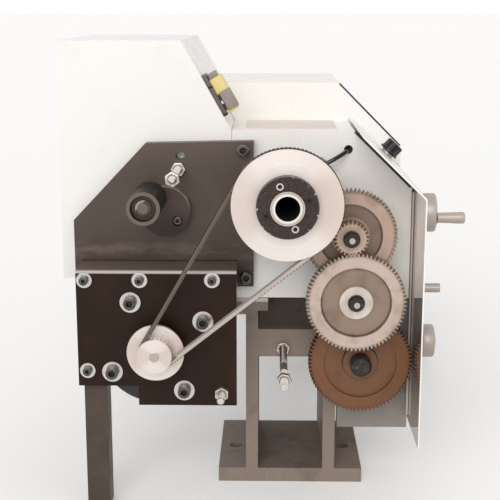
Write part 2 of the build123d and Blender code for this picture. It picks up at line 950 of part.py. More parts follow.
def motor_bolt_places():
    """Centres of the four motor bolts."""
    return [polar(motor_bolt_circle / 2, motor_bolt_turn + 90 * index, (motor_y, motor_z)) for index in range(4)]


def make_motor_shaft():
    """Motor shaft from inside the motor to the pulley's face."""
    start = -motor_plate_face + motor_plate_thickness
    return rod_x(motor_shaft_diameter, -pulley_face - 1.5, start + motor_length / 2 - 2, motor_y, motor_z)


def make_motor_pulley():
    """Small two-step pulley on the motor shaft."""
    place = (motor_y, motor_z)
    return stepped_pulley(motor_front_teeth, motor_rear_teeth, place, motor_shaft_diameter,
                          motor_front_lip, motor_middle_lip)


def belt_tangents(radius_a, radius_b):
    """Angle of the centre line from spindle to motor, and half the wrap angle, in degrees."""
    distance = math.hypot(motor_y, motor_z)
    line = math.degrees(math.atan2(motor_z, motor_y))
    return line, math.degrees(math.acos((radius_a - radius_b) / distance))


def belt_face(grow):
    """The belt's loop at a height above the pulleys' teeth, as a filled face."""
    radius_a = pulley_radius(spindle_front_teeth) + belt_lift + grow
    radius_b = pulley_radius(motor_front_teeth) + belt_lift + grow
    line, wrap = belt_tangents(radius_a, radius_b)
    motor_center = (motor_y, motor_z)
    a_left, a_right = polar(radius_a, line + wrap), polar(radius_a, line - wrap)
    b_left = polar(radius_b, line + wrap, motor_center)
    b_right = polar(radius_b, line - wrap, motor_center)
    outline = [Line(a_left, b_left), ThreePointArc(b_left, polar(radius_b, line, motor_center), b_right),
               Line(b_right, a_right), ThreePointArc(a_right, polar(radius_a, line + 180), a_left)]
    return make_face(outline)


def belt_outside():
    """The belt's toothed outer outline, as a filled face."""
    radius_a = pulley_radius(spindle_front_teeth) + belt_lift + belt_back
    radius_b = pulley_radius(motor_front_teeth) + belt_lift + belt_back
    line, wrap = belt_tangents(radius_a, radius_b)
    center_b = (motor_y, motor_z)
    free_run = math.dist(polar(radius_a, line + wrap), polar(radius_b, line + wrap, center_b))
    around_a = math.radians(360 - 2 * wrap) * radius_a
    around_b = math.radians(2 * wrap) * radius_b
    length = 2 * free_run + around_a + around_b
    count = round(length / belt_pitch)

    def outer_point(reach, height):
        """A point at a distance along the loop and a height above the belt's back."""
        if reach < around_a:
            return polar(radius_a + height, line + wrap + math.degrees(reach / radius_a))
        reach -= around_a
        if reach < free_run:
            start, end = polar(radius_a + height, line - wrap), polar(radius_b + height, line - wrap, center_b)
            share = reach / free_run
            return (start[0] + share * (end[0] - start[0]), start[1] + share * (end[1] - start[1]))
        reach -= free_run
        if reach < around_b:
            return polar(radius_b + height, line - wrap + math.degrees(reach / radius_b), center_b)
        share = (reach - around_b) / free_run
        start, end = polar(radius_b + height, line + wrap, center_b), polar(radius_a + height, line + wrap)
        return (start[0] + share * (end[0] - start[0]), start[1] + share * (end[1] - start[1]))

    points = []
    for tooth in range(count):
        for share, height in ((0.1, 0.0), (0.25, belt_outer_depth), (0.6, belt_outer_depth), (0.75, 0.0)):
            points.append(outer_point(length * (tooth + share) / count, height))
    return Polygon(*points, align=None)


def belt_teeth():
    """Teeth on the inside of the two free runs, as near to the pulleys as leaves these free to turn."""
    radius_a = pulley_radius(spindle_front_teeth) + belt_lift
    radius_b = pulley_radius(motor_front_teeth) + belt_lift
    line, wrap = belt_tangents(radius_a, radius_b)
    teeth = []
    for side in (1, -1):
        normal = line + side * wrap
        start = polar(radius_a, normal)
        end = polar(radius_b, normal, (motor_y, motor_z))
        run = math.dist(start, end)
        first = math.sqrt(2 * radius_a * belt_tooth_depth) + belt_pitch
        last = run - math.sqrt(2 * radius_b * belt_tooth_depth) - belt_pitch
        along = ((end[0] - start[0]) / run, (end[1] - start[1]) / run)
        inward = polar(-1.0, normal)
        for index in range(int((last - first) / belt_pitch) + 1):
            reach = first + index * belt_pitch
            corners = []
            for across, depth in ((-0.5, -0.3), (-0.32, 1.0), (0.32, 1.0), (0.5, -0.3)):
                step, fall = reach + across * belt_tooth_width, depth * belt_tooth_depth
                corners.append((start[0] + step * along[0] + fall * inward[0],
                                start[1] + step * along[1] + fall * inward[1]))
            teeth.append(Polygon(*corners, align=None))
    return teeth


def make_drive_belt():
    """Belt on the front steps, toothed on both of its sides."""
    start = front_step + belt_side_room
    end = start + belt_width
    belt = slab_x(belt_outside(), start, end) - slab_x(belt_face(0.0), start - 1, end + 1)
    return belt + [slab_x(tooth, start, end) for tooth in belt_teeth()]


# Change gears


def make_stud_gear():
    """Large first gear, turned by the spindle gear."""
    turn = facing_space(stud_gear_teeth, stud_angle + 180)
    wheel = gear_wheel(stud_gear_teeth, turn, middle_plane, stud_place, stud_hub)
    return dished(wheel, stud_gear_teeth, middle_plane, stud_place, gear_boss + 4)


def make_stud_pinion():
    """Pinion in front of the first gear, with the hub that carries it."""
    wheel = gear_wheel(stud_pinion_teeth, cluster_angle, front_plane, stud_place, gear_axle)
    wheel += rod_x(stud_hub, front_plane + gear_width, middle_plane + gear_width, *stud_place)
    bore = gear_axle + 2 * running_clearance
    return wheel - rod_x(bore, front_plane - 1, middle_plane + gear_width + 1, *stud_place)


def make_cluster_gear():
    """Large second gear with the hub that carries its pinion."""
    turn = facing_space(cluster_gear_teeth, cluster_angle + 180)
    wheel = gear_wheel(cluster_gear_teeth, turn, front_plane, cluster_place, gear_axle)
    wheel = dished(wheel, cluster_gear_teeth, front_plane, cluster_place, gear_boss)
    wheel += rod_x(cluster_hub, front_plane + gear_width, rear_plane_end, *cluster_place)
    bore = gear_axle + 2 * running_clearance
    return wheel - rod_x(bore, front_plane - 1, rear_plane_end + 1, *cluster_place)


def make_cluster_pinion():
    """Hidden pinion that turns the leadscrew gear."""
    return gear_wheel(cluster_pinion_teeth, leadscrew_angle, rear_plane, cluster_place, cluster_hub)


def make_leadscrew_gear():
    """Large gear on the leadscrew."""
    turn = facing_space(leadscrew_gear_teeth, leadscrew_angle + 180)
    wheel = gear_wheel(leadscrew_gear_teeth, turn, rear_plane, leadscrew_place, leadscrew_tail)
    return dished(wheel, leadscrew_gear_teeth, rear_plane, leadscrew_place, gear_boss + 2)


def axle_tip():
    """Front end of the gear axles."""
    return front_plane - free_clearance - axle_washer_thickness - axle_nut_width - axle_end


def make_gear_axles():
    """Two fixed axles: one in the headstock, one in the quadrant."""
    journal_front = front_plane - free_clearance
    collar_end = middle_plane + gear_width + free_clearance
    first = rod_x(gear_axle, journal_front, casting_left + pedestal_width / 2, *stud_place)
    first += rod_x(axle_collar, collar_end, 0, *stud_place)
    shoulder = rear_plane_end + free_clearance
    second = rod_x(gear_axle, journal_front, -quadrant_gap + 2, *cluster_place)
    second += rod_x(axle_collar, shoulder, -quadrant_gap - quadrant_thickness, *cluster_place)
    first += rod_x(axle_thread, axle_tip(), journal_front, *stud_place)
    second += rod_x(axle_thread, axle_tip(), journal_front, *cluster_place)
    return group(first, second)


def make_gear_axle_nuts():
    """A washer and a nut at the front of each axle."""
    washer_back = front_plane - free_clearance
    nut_back = washer_back - axle_washer_thickness
    pieces = []
    for place, turn in ((stud_place, 8.0), (cluster_place, 22.0)):
        pieces.append(washer_x(axle_washer, axle_thread, washer_back, axle_washer_thickness, place))
        nut = hex_x(axle_nut_flats, nut_back - axle_nut_width, nut_back, *place, turn)
        pieces.append(nut - rod_x(axle_thread, nut_back - axle_nut_width - 1, nut_back + 1, *place))
    return group(*pieces)


def make_gear_quadrant():
    """Arm clamped on the leadscrew bracket's boss, carrying the second axle."""
    x0, x1 = -quadrant_gap - quadrant_thickness, -quadrant_gap
    arm = rod_x(quadrant_large, x0, x1, *leadscrew_place) + rod_x(quadrant_small, x0, x1, *cluster_place)
    reach = math.dist(cluster_place, leadscrew_place)
    bar = Rectangle(reach, quadrant_small - 2)
    middle = ((cluster_place[0] + leadscrew_place[0]) / 2, (cluster_place[1] + leadscrew_place[1]) / 2)
    arm += slab_x(Pos(*middle) * Rot(0, 0, leadscrew_angle) * bar, x0, x1)
    return arm - [rod_x(quadrant_boss, x0 - 1, x1 + 1, *leadscrew_place),
                  rod_x(gear_axle, x0 - 1, x1 + 1, *cluster_place)]


# Leadscrew


def make_leadscrew():
    """Leadscrew with a thin tail for its gear."""
    tail_start = rear_plane - leadscrew_nut_width + leadscrew_nut_crown
    screw = rod_x(leadscrew_tail, tail_start, bracket_start, *leadscrew_place)
    return screw + rod_x(leadscrew_diameter, bracket_start, bed_end - 4, *leadscrew_place)


def make_leadscrew_nut():
    """Round cap nut that holds the leadscrew gear."""
    face = rear_plane - leadscrew_nut_width
    nut = rod_x(leadscrew_nut_diameter, face, rear_plane, *leadscrew_place)
    nut -= rod_x(leadscrew_tail, face + leadscrew_nut_crown, rear_plane + 1, *leadscrew_place)
    return chamfer(nut.edges().filter_by(GeomType.CIRCLE).group_by(Axis.X)[0].sort_by(SortBy.RADIUS)[-1], 1.5)


def make_leadscrew_brackets():
    """Grey plate with a boss at the gear end, and a block at the tailstock end."""
    x0, x1 = bracket_start, bracket_start + bracket_thickness
    front = head_front - panel_gap
    beside = wall_out_front - bracket_reveal
    top = head_bottom - bracket_reveal
    notch_y, notch_z = bed_front - bracket_reveal, way_under - bracket_reveal
    outline = [(front, top), (notch_y, top), (notch_y, notch_z), (beside, notch_z),
               (beside, bracket_bottom), (front, bracket_bottom)]
    left = prism_x(outline, x0, x1)
    left += block(bed_start, x1, beside - 1, wall_out_front, leadscrew_z - 20, leadscrew_z + 20)
    left += rod_x(quadrant_boss, rear_plane_end + 2, x0, *leadscrew_place)
    left -= rod_x(leadscrew_diameter + 2 * running_clearance, x0, x1 + 1, *leadscrew_place)
    left -= rod_x(leadscrew_tail + 2 * running_clearance, rear_plane_end, x0 + 1, *leadscrew_place)
    right_y = leadscrew_y - leadscrew_diameter
    right = block(bed_end - 16, bed_end, right_y, wall_out_front, leadscrew_z - 20, leadscrew_z + 20)
    right -= rod_x(leadscrew_diameter + 2 * running_clearance, bed_end - 17, bed_end - 3, *leadscrew_place)
    return group(left, right)


# Plates


def make_upper_plate():
    """Thick black plate on the end of the headstock, and three posts for the motor plate."""
    outline = [(upper_corner_y, upper_top - upper_fall), (upper_inner, upper_top), (upper_inner, upper_tab_bottom),
               (upper_tab_edge, upper_tab_bottom), (upper_tab_edge, upper_bottom),
               (upper_outer, upper_bottom), (upper_outer, upper_corner_z)]
    face = -upper_plate_thickness
    plate = prism_x(outline, face, 0)
    for place in (upper_screw_top, upper_screw_low):
        plate -= rod_x(large_screw, face - 1, 1, *place)
    plate -= rod_x(spare_hole_diameter, face - 1, 1, *spare_hole)
    plate -= rod_x(stud_diameter, face - 1, -1, *plate_stud)
    plate -= rod_x(idler_pivot_screw, face - 1, -1, *idler_pivot)
    back = -motor_plate_face + motor_plate_thickness
    posts = []
    for place in post_places:
        post = rod_x(post_diameter, back, face, *place)
        posts.append(post - rod_x(small_screw, back - 1, back + small_head, *place))
    return group(plate, *posts)


def make_motor_plate():
    """Black plate for the motor, with its top edge bent back to the upper plate."""
    front, back = -motor_plate_face, -motor_plate_face + motor_plate_thickness
    outline = [(motor_plate_outer, motor_plate_top), (motor_plate_inner, motor_plate_top),
               (motor_plate_inner, motor_plate_bottom), (motor_plate_step_y, motor_plate_bottom),
               (motor_plate_step_y, motor_plate_step_z), (motor_plate_outer, motor_plate_step_z)]
    plate = prism_x(outline, front, back)
    plate += block(front, -upper_plate_thickness, motor_plate_inner, motor_plate_outer,
                   motor_plate_top - shelf_thickness, motor_plate_top)
    bend = plate.edges().filter_by(Axis.Y).group_by(Axis.Z)[-1].sort_by(Axis.X)[0]
    plate = fillet(bend, motor_plate_bend)
    slope = math.degrees(math.atan2(motor_z, motor_y))
    for place in motor_bolt_places():
        slot = Pos(*place) * Rot(0, 0, slope) * SlotOverall(motor_slot_length, motor_slot_width)
        plate -= slab_x(slot, front - 1, back + 1)
    for place in (*post_places, leg_screw):
        plate -= rod_x(small_screw, front - 1, back + 1, *place)
    plate -= rod_x(motor_shaft_diameter + 10, front - 1, back + 1, motor_y, motor_z)
    return plate - rod_x(stud_diameter, front - 1, back + 1, *jack_stud)


def make_support_leg():
    """Square leg from the motor plate to the bench, hollowed to clear the motor's flange."""
    back = -motor_plate_face + motor_plate_thickness
    leg = block(back, back + leg_size, leg_inner, leg_inner + leg_size, bench_z, leg_top)
    leg -= rod_x(motor_flange_diameter + 2 * free_clearance, back - 1, back + motor_flange_width + free_clearance,
                 motor_y, motor_z)
    return leg - rod_x(small_screw, back - 1, back + small_head, *leg_screw)


def make_plate_cap_screws():
    """Black socket screws of the two plates, and the idler's pivot screw."""
    seat = -motor_plate_face - washer_thickness
    screws = []
    for place in motor_bolt_places():
        length = motor_plate_thickness + washer_thickness + motor_flange_width - 2
        screws.append(cap_screw(large_screw, large_head, large_head_height, large_socket, seat, length, place))
    for place in (*post_places, leg_screw):
        length = motor_plate_thickness + washer_thickness + small_head - 1
        screws.append(cap_screw(small_screw, small_head, small_head_height, small_socket, seat, length, place))
    face = -upper_plate_thickness
    for place in (upper_screw_top, upper_screw_low):
        screws.append(cap_screw(large_screw, large_head, large_head_height, large_socket, face,
                                upper_plate_thickness, place))
    pivot_seat = face - way_clearance - idler_disc_width / 2
    screws.append(cap_screw(idler_pivot_screw, idler_pivot_head, idler_disc_width / 2, small_socket,
                            pivot_seat, idler_disc_width, idler_pivot))
    return group(*screws)


def make_plate_washers():
    """Zinc washers under the motor bolts and the plate screws."""
    seat = -motor_plate_face
    washers = [washer_x(large_washer, large_screw, seat, washer_thickness, place) for place in motor_bolt_places()]
    for place in (*post_places, leg_screw):
        washers.append(washer_x(small_washer, small_screw, seat, washer_thickness, place))
    return group(*washers)


def stud_with_nuts(root, seat, reach, tip, place):
    """A threaded stud along X with a nut at its base and one near its end, which its tip stands out of."""
    pieces = [rod_x(stud_diameter, -reach, root, *place)]
    for back in (seat, -reach + tip + stud_nut_width):
        nut = hex_x(stud_nut_flats, back - stud_nut_width, back, *place, 12.0)
        pieces.append(nut - rod_x(stud_diameter, back - stud_nut_width - 1, back + 1, *place))
    return pieces


def make_studs_and_nuts():
    """Two studs that hold the end cover, and the motor plate's adjusting stud."""
    pieces = stud_with_nuts(-1, -upper_plate_thickness, plate_stud_reach, plate_stud_tip, plate_stud)
    pieces += stud_with_nuts(bed_start + web_thickness, bed_start, web_stud_reach, web_stud_tip, web_stud)
    place = jack_stud
    seat = -motor_plate_face
    pieces.append(rod_x(stud_diameter, -jack_stud_reach, seat + motor_plate_thickness, *place))
    nut = hex_x(stud_nut_flats, seat - stud_nut_width, seat, *place, 12.0)
    pieces.append(nut - rod_x(stud_diameter, seat - stud_nut_width - 1, seat + 1, *place))
    return group(*pieces)


# Idler


def make_idler_disc():
    """Eccentric disc with the roller's shaft, and the circlip on it."""
    back = -upper_plate_thickness - way_clearance
    front = back - idler_disc_width
    disc = rod_x(idler_disc_diameter, front, back, *idler_center)
    disc += rod_x(idler_shaft, -idler_roller_front + 1, front, *idler_axis)
    disc -= rod_x(idler_pivot_screw + 2 * running_clearance, front - 1, back + 1, *idler_pivot)
    sink = idler_pivot_head + 2 * way_clearance
    disc -= rod_x(sink, front - 1, back - idler_disc_width / 2 + running_clearance, *idler_pivot)
    clip_back = -idler_roller_front + idler_bearing_recess - free_clearance
    clip = tube_x(circlip_diameter, idler_shaft, clip_back - circlip_thickness, clip_back, *idler_axis)
    return group(disc, clip)


def make_idler_roller():
    """Roller sleeve with its two bearings."""
    front = -idler_roller_front
    back = -upper_plate_thickness - way_clearance - idler_disc_width - free_clearance
    sleeve = tube_x(idler_roller_diameter, idler_bearing_diameter, front, back, *idler_axis)
    pieces = [sleeve]
    bore = idler_shaft + 2 * running_clearance
    for start in (front + idler_bearing_recess, back - idler_bearing_width - 1):
        pieces.append(tube_x(idler_bearing_diameter, bore, start, start + idler_bearing_width, *idler_axis))
    return group(*pieces)


# Sensor


def make_sensor_lead():
    """Speed sensor beside the pulley, and its lead into the headstock."""
    sensor = rod_x(sensor_diameter, -sensor_reach, 0, *sensor_place)
    sensor += rod_x(sensor_base, -sensor_base_width, 0, *sensor_place)
    y1, z1 = lead_hole
    y0, z0 = sensor_place
    run = math.dist(lead_hole, sensor_place)
    edge = sensor_diameter / 2 / run
    end = (-lead_reach, y0 + edge * (y1 - y0), z0 + edge * (z1 - z0))
    path = FilletPolyline((cover_wall + 6, y1, z1), (-lead_reach, y1, z1), end, radius=lead_diameter * 1.8)
    start_plane = Plane(origin=path @ 0, z_dir=path % 0)
    lead = sweep(start_plane * Circle(lead_diameter / 2), path=path)
    return group(sensor, lead - rod_x(sensor_diameter, -sensor_reach, 0, *sensor_place))


# Controls


def make_speed_knob():
    """Ribbed knob with a skirt and a short shaft."""
    knob = Pos(0, 0, knob_stand + knob_skirt_height / 2) * Cylinder(knob_skirt / 2, knob_skirt_height)
    crown = knob_stand + knob_skirt_height
    knob += Pos(0, 0, crown + knob_height / 2) * Cylinder(knob_diameter / 2, knob_height)
    reach = panel_sheet + panel_gap / 2
    knob += Pos(0, 0, (knob_stand - reach) / 2) * Cylinder(knob_shaft / 2, knob_stand + reach)
    return knob_plane() * knob


def make_stop_button():
    """Mushroom stop button on its stem."""
    reach = 3 * cover_wall
    button = Pos(0, 0, (stop_stand - reach) / 2) * Cylinder(stop_stem / 2, stop_stand + reach)
    cap = Pos(0, 0, stop_stand + stop_height / 2) * Cylinder(stop_diameter / 2, stop_height)
    cap = fillet(cap.edges().group_by(Axis.Z)[-1], stop_height / 2.5)
    return control_plane(stop_x) * (button + cap)


def make_direction_switch():
    """Round switch with a finger bar."""
    reach = 3 * cover_wall
    switch = Pos(0, 0, (direction_stand - reach) / 2) * Cylinder(direction_shaft / 2, direction_stand + reach)
    low = direction_height / 3
    switch += Pos(0, 0, direction_stand + low / 2) * Cylinder(direction_diameter / 2, low)
    bar = Box(direction_bar, direction_diameter * 0.9, direction_height - low)
    switch += Pos(0, 0, direction_stand + (direction_height + low) / 2) * bar
    return control_plane(direction_x) * switch


# Chuck

chuck_face = nose_end + chuck_length
scroll_start = nose_end + chuck_back + free_clearance
cavity_end = scroll_start + scroll_width + free_clearance
jaw_back = cavity_end + free_clearance


def make_chuck_body():
    """Chuck body with three jaw slots and room for the scroll, and its backplate."""
    back_end = nose_end + chuck_back
    back = tube_x(chuck_diameter, chuck_bore, nose_end, back_end)
    body = tube_x(chuck_diameter, chuck_bore, back_end, chuck_face)
    body -= tube_x(scroll_outside + 2 * free_clearance, scroll_inside - 2 * free_clearance,
                   back_end - 1, cavity_end)
    slot_half = jaw_width / 2 + way_clearance
    slot = block(cavity_end - 1, chuck_face + 1, 0, chuck_diameter, -slot_half, slot_half)
    for jaw in range(3):
        body -= Rot(jaw_angle(jaw), 0, 0) * slot
    return group(back, body)


def jaw_angle(jaw):
    """Angle of a jaw from +Y towards +Z."""
    return 90 + 120 * jaw


def make_chuck_scroll():
    """Ring that moves the jaws."""
    return tube_x(scroll_outside, scroll_inside, scroll_start, scroll_start + scroll_width)


def make_chuck_jaw(jaw):
    """One stepped jaw in its slot."""
    half = jaw_width / 2
    outline = [(jaw_inner, jaw_back), (jaw_outer, jaw_back), (jaw_outer, chuck_face + jaw_low_reach),
               (jaw_step, chuck_face + jaw_low_reach), (jaw_step, chuck_face + jaw_reach),
               (jaw_inner, chuck_face + jaw_reach)]
    plane = Plane(origin=(0, 0, -half), x_dir=(0, 1, 0), z_dir=(0, 0, 1))
    face = plane * Polygon(*[(y, -x) for y, x in outline], align=None)
    shape = extrude(face, amount=jaw_width, dir=(0, 0, 1))
    return Rot(jaw_angle(jaw), 0, 0) * shape


# Carriage

saddle_left = carriage_x - saddle_length / 2
saddle_right = carriage_x + saddle_length / 2
saddle_bottom = way_top + way_clearance
cross_bottom = saddle_top + way_clearance
compound_bottom = cross_slide_top + way_clearance
top_slide_bottom = compound_top + way_clearance
post_bottom = top_slide_top + way_clearance


def make_saddle():
    """Saddle on the ways with the cross dovetail and the cross screw's housing."""
    saddle = block(saddle_left, saddle_right, saddle_front, saddle_rear, saddle_bottom, saddle_top)
    tail = dovetail(cross_dovetail_root, cross_dovetail_crown, cross_dovetail_height, carriage_x, saddle_top)
    saddle += prism_y(tail, saddle_front, saddle_rear)
    hook_bottom = way_under - way_clearance - saddle_hook
    hook_top = way_under - way_clearance
    saddle += block(saddle_left, saddle_right, bed_rear + way_clearance, saddle_rear, hook_bottom, saddle_bottom)
    saddle += block(saddle_left, saddle_right, bed_rear - saddle_hook_reach, saddle_rear, hook_bottom, hook_top)
    half = cross_housing_width / 2
    saddle += block(carriage_x - half, carriage_x + half, cross_housing_front, saddle_front,
                    saddle_bottom, saddle_top - 2 * way_clearance)
    saddle -= way_grooves(saddle_left, saddle_right)
    slot_half = cross_slot_width / 2
    slot_bottom = cross_nut_bottom - 2 * free_clearance
    saddle -= block(carriage_x - slot_half, carriage_x + slot_half, cross_slot_front, cross_slot_rear,
                    slot_bottom, saddle_top + cross_dovetail_height + 1)
    bore = cross_screw_diameter + 2 * running_clearance
    return saddle - rod_y(bore, cross_housing_front - 1, saddle_rear + 1, carriage_x, cross_screw_z)


def make_cross_slide():
    """Cross slide with its nut."""
    half = cross_slide_length / 2
    slide = block(carriage_x - half, carriage_x + half, cross_slide_front, cross_slide_rear,
                  cross_bottom, cross_slide_top)
    slot = dovetail_slot(cross_dovetail_root, cross_dovetail_crown, cross_dovetail_height, carriage_x, saddle_top)
    slide -= prism_y(slot, cross_slide_front - 1, cross_slide_rear + 1)
    nut_half = cross_nut_width / 2
    nut_top = saddle_top + cross_dovetail_height + way_clearance
    nut = block(carriage_x - nut_half, carriage_x + nut_half, cross_nut_front,
                cross_nut_front + cross_nut_length, cross_nut_bottom, nut_top)
    bore = cross_screw_diameter + 2 * running_clearance
    nut -= rod_y(bore, cross_nut_front - 1, cross_nut_front + cross_nut_length + 1, carriage_x, cross_screw_z)
    return slide + nut


def crank_handle(length, diameter):
    """A turned crank handle along +Z, thicker towards its end."""
    outline = [(0, 0), (diameter * 0.44, 0), (diameter * 0.5, length * 0.82), (diameter * 0.5, length * 0.94),
               (diameter * 0.42, length), (0, length)]
    return revolve(Plane.XZ * Polygon(*outline, align=None), Axis.Z)


def wheel_y(diameter, face, width, x, z):
    """A handwheel along Y with rounded rims, its outer face at Y = face."""
    wheel = rod_y(diameter, face, face + width, x, z)
    return fillet(wheel.edges().filter_by(GeomType.CIRCLE), width / 5)


def make_cross_handwheel():
    """Cross-slide handwheel with its screw, and its crank handle."""
    wheel = wheel_y(cross_wheel_diameter, cross_wheel_face, cross_wheel_width, carriage_x, cross_screw_z)
    hub_back = cross_housing_front - free_clearance
    wheel += rod_y(2 * cross_screw_diameter, cross_wheel_face + cross_wheel_width, hub_back,
                   carriage_x, cross_screw_z)
    wheel += rod_y(cross_screw_diameter, hub_back, cross_slot_rear - 3, carriage_x, cross_screw_z)
    across, up = polar(crank_radius, crank_angle, (carriage_x, cross_screw_z))
    handle = Pos(across, cross_wheel_face, up) * Rot(90, 0, 0) * crank_handle(crank_length, crank_diameter)
    return group(wheel, handle)


apron_left = carriage_x - apron_length / 2
apron_right = carriage_x + apron_length / 2
apron_wheel_x = carriage_x + apron_wheel_offset
lever_x = carriage_x + lever_offset


def make_apron():
    """Apron under the saddle, with room for the leadscrew and the half nut."""
    apron = block(apron_left, apron_right, apron_front, apron_back, apron_bottom, saddle_bottom)
    half = apron_box_length / 2
    apron += block(carriage_x - half, carriage_x + half, apron_back, apron_rear,
                   apron_bottom + 5, apron_box_top)
    apron -= rod_x(leadscrew_diameter + 6, apron_left - 1, apron_right + 1, *leadscrew_place)
    room_x, room_y = half_nut_length / 2 + way_clearance, half_nut_width / 2 + way_clearance
    room_bottom = leadscrew_z - half_nut_drop - half_nut_height - 2 * way_clearance
    apron -= block(carriage_x - room_x, carriage_x + room_x, leadscrew_y - room_y, leadscrew_y + room_y,
                   room_bottom, room_bottom + half_nut_height + half_nut_room)
    apron -= rod_y(apron_shaft + 2 * running_clearance, apron_front - 1, apron_back - 5,
                   apron_wheel_x, apron_wheel_z)
    apron -= rod_y(lever_shaft + 2 * running_clearance, apron_front - 1, apron_back - 2, lever_x, lever_z)
    return apron


def make_apron_handwheel():
    """Apron handwheel on its shaft."""
    wheel = wheel_y(apron_wheel_diameter, apron_wheel_face, apron_wheel_width, apron_wheel_x, apron_wheel_z)
    collar_back = apron_front - free_clearance
    wheel += rod_y(1.8 * apron_shaft, apron_wheel_face + apron_wheel_width, collar_back,
                   apron_wheel_x, apron_wheel_z)
    return wheel + rod_y(apron_shaft, collar_back, apron_back - 6, apron_wheel_x, apron_wheel_z)


def make_half_nut():
    """Half nut below the leadscrew, drawn clear of it."""
    top = leadscrew_z - half_nut_drop
    half_x, half_y = half_nut_length / 2, half_nut_width / 2
    nut = block(carriage_x - half_x, carriage_x + half_x, leadscrew_y - half_y, leadscrew_y + half_y,
                top - half_nut_height, top)
    return nut - rod_x(leadscrew_diameter + 2 * free_clearance, carriage_x - half_x - 1, carriage_x + half_x + 1,
                       leadscrew_y, top)


def make_half_nut_lever():
    """Lever that closes the half nut."""
    hub_back = apron_front - free_clearance
    hub_front = hub_back - lever_hub_width
    lever = rod_y(lever_hub, hub_front, hub_back, lever_x, lever_z)
    lever += rod_y(lever_shaft, hub_back, apron_back - 3, lever_x, lever_z)
    half = lever_arm_width / 2
    lever += block(lever_x - lever_arm, lever_x, hub_front, hub_front + lever_arm_width,
                   lever_z - half, lever_z + half)
    knob_front = hub_front - lever_knob_length + lever_arm_width
    return lever + rod_y(lever_knob, knob_front, hub_front + lever_arm_width, lever_x - lever_arm, lever_z)


def make_compound_base():
    """Swivel base of the compound, with its dovetail and the bracket of its screw."""
    base = rod_z(compound_disc, compound_bottom, compound_disc_top, carriage_x, compound_y)
    x0, x1 = carriage_x - compound_length / 2, carriage_x + compound_length / 2
    y0, y1 = compound_y - compound_width / 2, compound_y + compound_width / 2
    base += block(x0, x1, y0, y1, compound_disc_top - 1, compound_top)
    tail = dovetail(top_dovetail_root, top_dovetail_crown, top_dovetail_height, compound_y, compound_top)
    base += prism_x(tail, x0, x1)
    base += block(x1, x1 + top_bracket, y0, y1, compound_disc_top - 1, top_bracket_top)
    bore = top_screw_diameter + 2 * running_clearance
    return base - rod_x(bore, x1 - 1, x1 + top_bracket + 1, compound_y, top_screw_z)


def make_top_slide():
    """Top slide with the stud for the tool post."""
    x0, x1 = carriage_x - top_slide_left, carriage_x + top_slide_right
    half = top_slide_width / 2
    slide = block(x0, x1, compound_y - half, compound_y + half, top_slide_bottom, top_slide_top)
    slot = dovetail_slot(top_dovetail_root, top_dovetail_crown, top_dovetail_height, compound_y, compound_top)
    slide -= prism_x(slot, x0 - 1, x1 + 1)
    slide -= rod_x(top_screw_diameter + 2 * running_clearance, x0 + 10, x1 + 1, compound_y, top_screw_z)
    stud_top = tool_post_top + clamp_hub_height - 2
    return slide + rod_z(tool_post_stud, top_slide_top, stud_top, carriage_x, compound_y)


def make_top_handwheel():
    """Top-slide handwheel with its screw, and its crank handle."""
    bracket_end = carriage_x + compound_length / 2 + top_bracket
    wheel_start = bracket_end + top_wheel_stand
    wheel_end = wheel_start + top_wheel_width
    wheel = rod_x(top_wheel_diameter, wheel_start, wheel_end, compound_y, top_screw_z)
    wheel = fillet(wheel.edges().filter_by(GeomType.CIRCLE), top_wheel_width / 5)
    collar = bracket_end + free_clearance
    wheel += rod_x(2 * top_screw_diameter, collar, wheel_start, compound_y, top_screw_z)
    wheel += rod_x(top_screw_diameter, carriage_x - 10, collar, compound_y, top_screw_z)
    handle_z = top_screw_z + 0.62 * top_wheel_diameter / 2
    handle = Pos(wheel_end, compound_y, handle_z) * Rot(0, 90, 0) * crank_handle(
        0.7 * crank_length, 0.7 * crank_diameter
    )
    return group(wheel, handle)


def make_tool_post():
    """Four-way tool post, and its clamp screws."""
    half = tool_post_size / 2
    core = half - tool_slot_depth
    post = block(carriage_x - half, carriage_x + half, compound_y - half, compound_y + half,
                 post_bottom, tool_post_top)
    height = (tool_slot_bottom, tool_slot_top)
    for side in (-1, 1):
        low, high = sorted((side * core, side * (half + 1)))
        post -= block(carriage_x + low, carriage_x + high, compound_y - half - 1, compound_y + half + 1, *height)
        post -= block(carriage_x - half - 1, carriage_x + half + 1, compound_y + low, compound_y + high, *height)
    post -= rod_z(tool_post_stud + 2 * running_clearance, post_bottom - 1, tool_post_top + 1,
                  carriage_x, compound_y)
    screws = []
    edge = half - tool_slot_depth / 2
    step = tool_screw_spacing / 2
    places = [(side * edge, along * step) for side in (-1, 1) for along in (-1, 0, 1)]
    places += [(along * step, side * edge) for side in (-1, 1) for along in (0,)]
    for across, along in places:
        x, y = carriage_x + across, compound_y + along
        post -= rod_z(tool_screw_diameter, tool_slot_top - 1, tool_post_top + 1, x, y)
        screws.append(rod_z(tool_screw_diameter, tool_slot_top, tool_post_top + tool_screw_height, x, y))
    return group(post, *screws)


def make_tool_post_handle():
    """Clamp handle on the tool post's stud."""
    base = tool_post_top + free_clearance
    hub = rod_z(clamp_hub, base, base + clamp_hub_height, carriage_x, compound_y)
    stud_top = tool_post_top + clamp_hub_height - 2
    hub -= rod_z(tool_post_stud + 2 * running_clearance, base - 1, stud_top + free_clearance,
                 carriage_x, compound_y)
    root = (tool_post_stud + clamp_hub) / 4
    arm = Pos(0, 0, (root + clamp_arm_length) / 2) * Cylinder(clamp_arm / 2, clamp_arm_length - root)
    arm += Pos(0, 0, clamp_arm_length) * Sphere(clamp_knob / 2)
    middle = Pos(carriage_x, compound_y, base + clamp_hub_height / 2)
    arm = middle * Rot(0, 0, clamp_arm_turn) * Rot(0, 90 - clamp_arm_tilt, 0) * arm
    return hub + arm


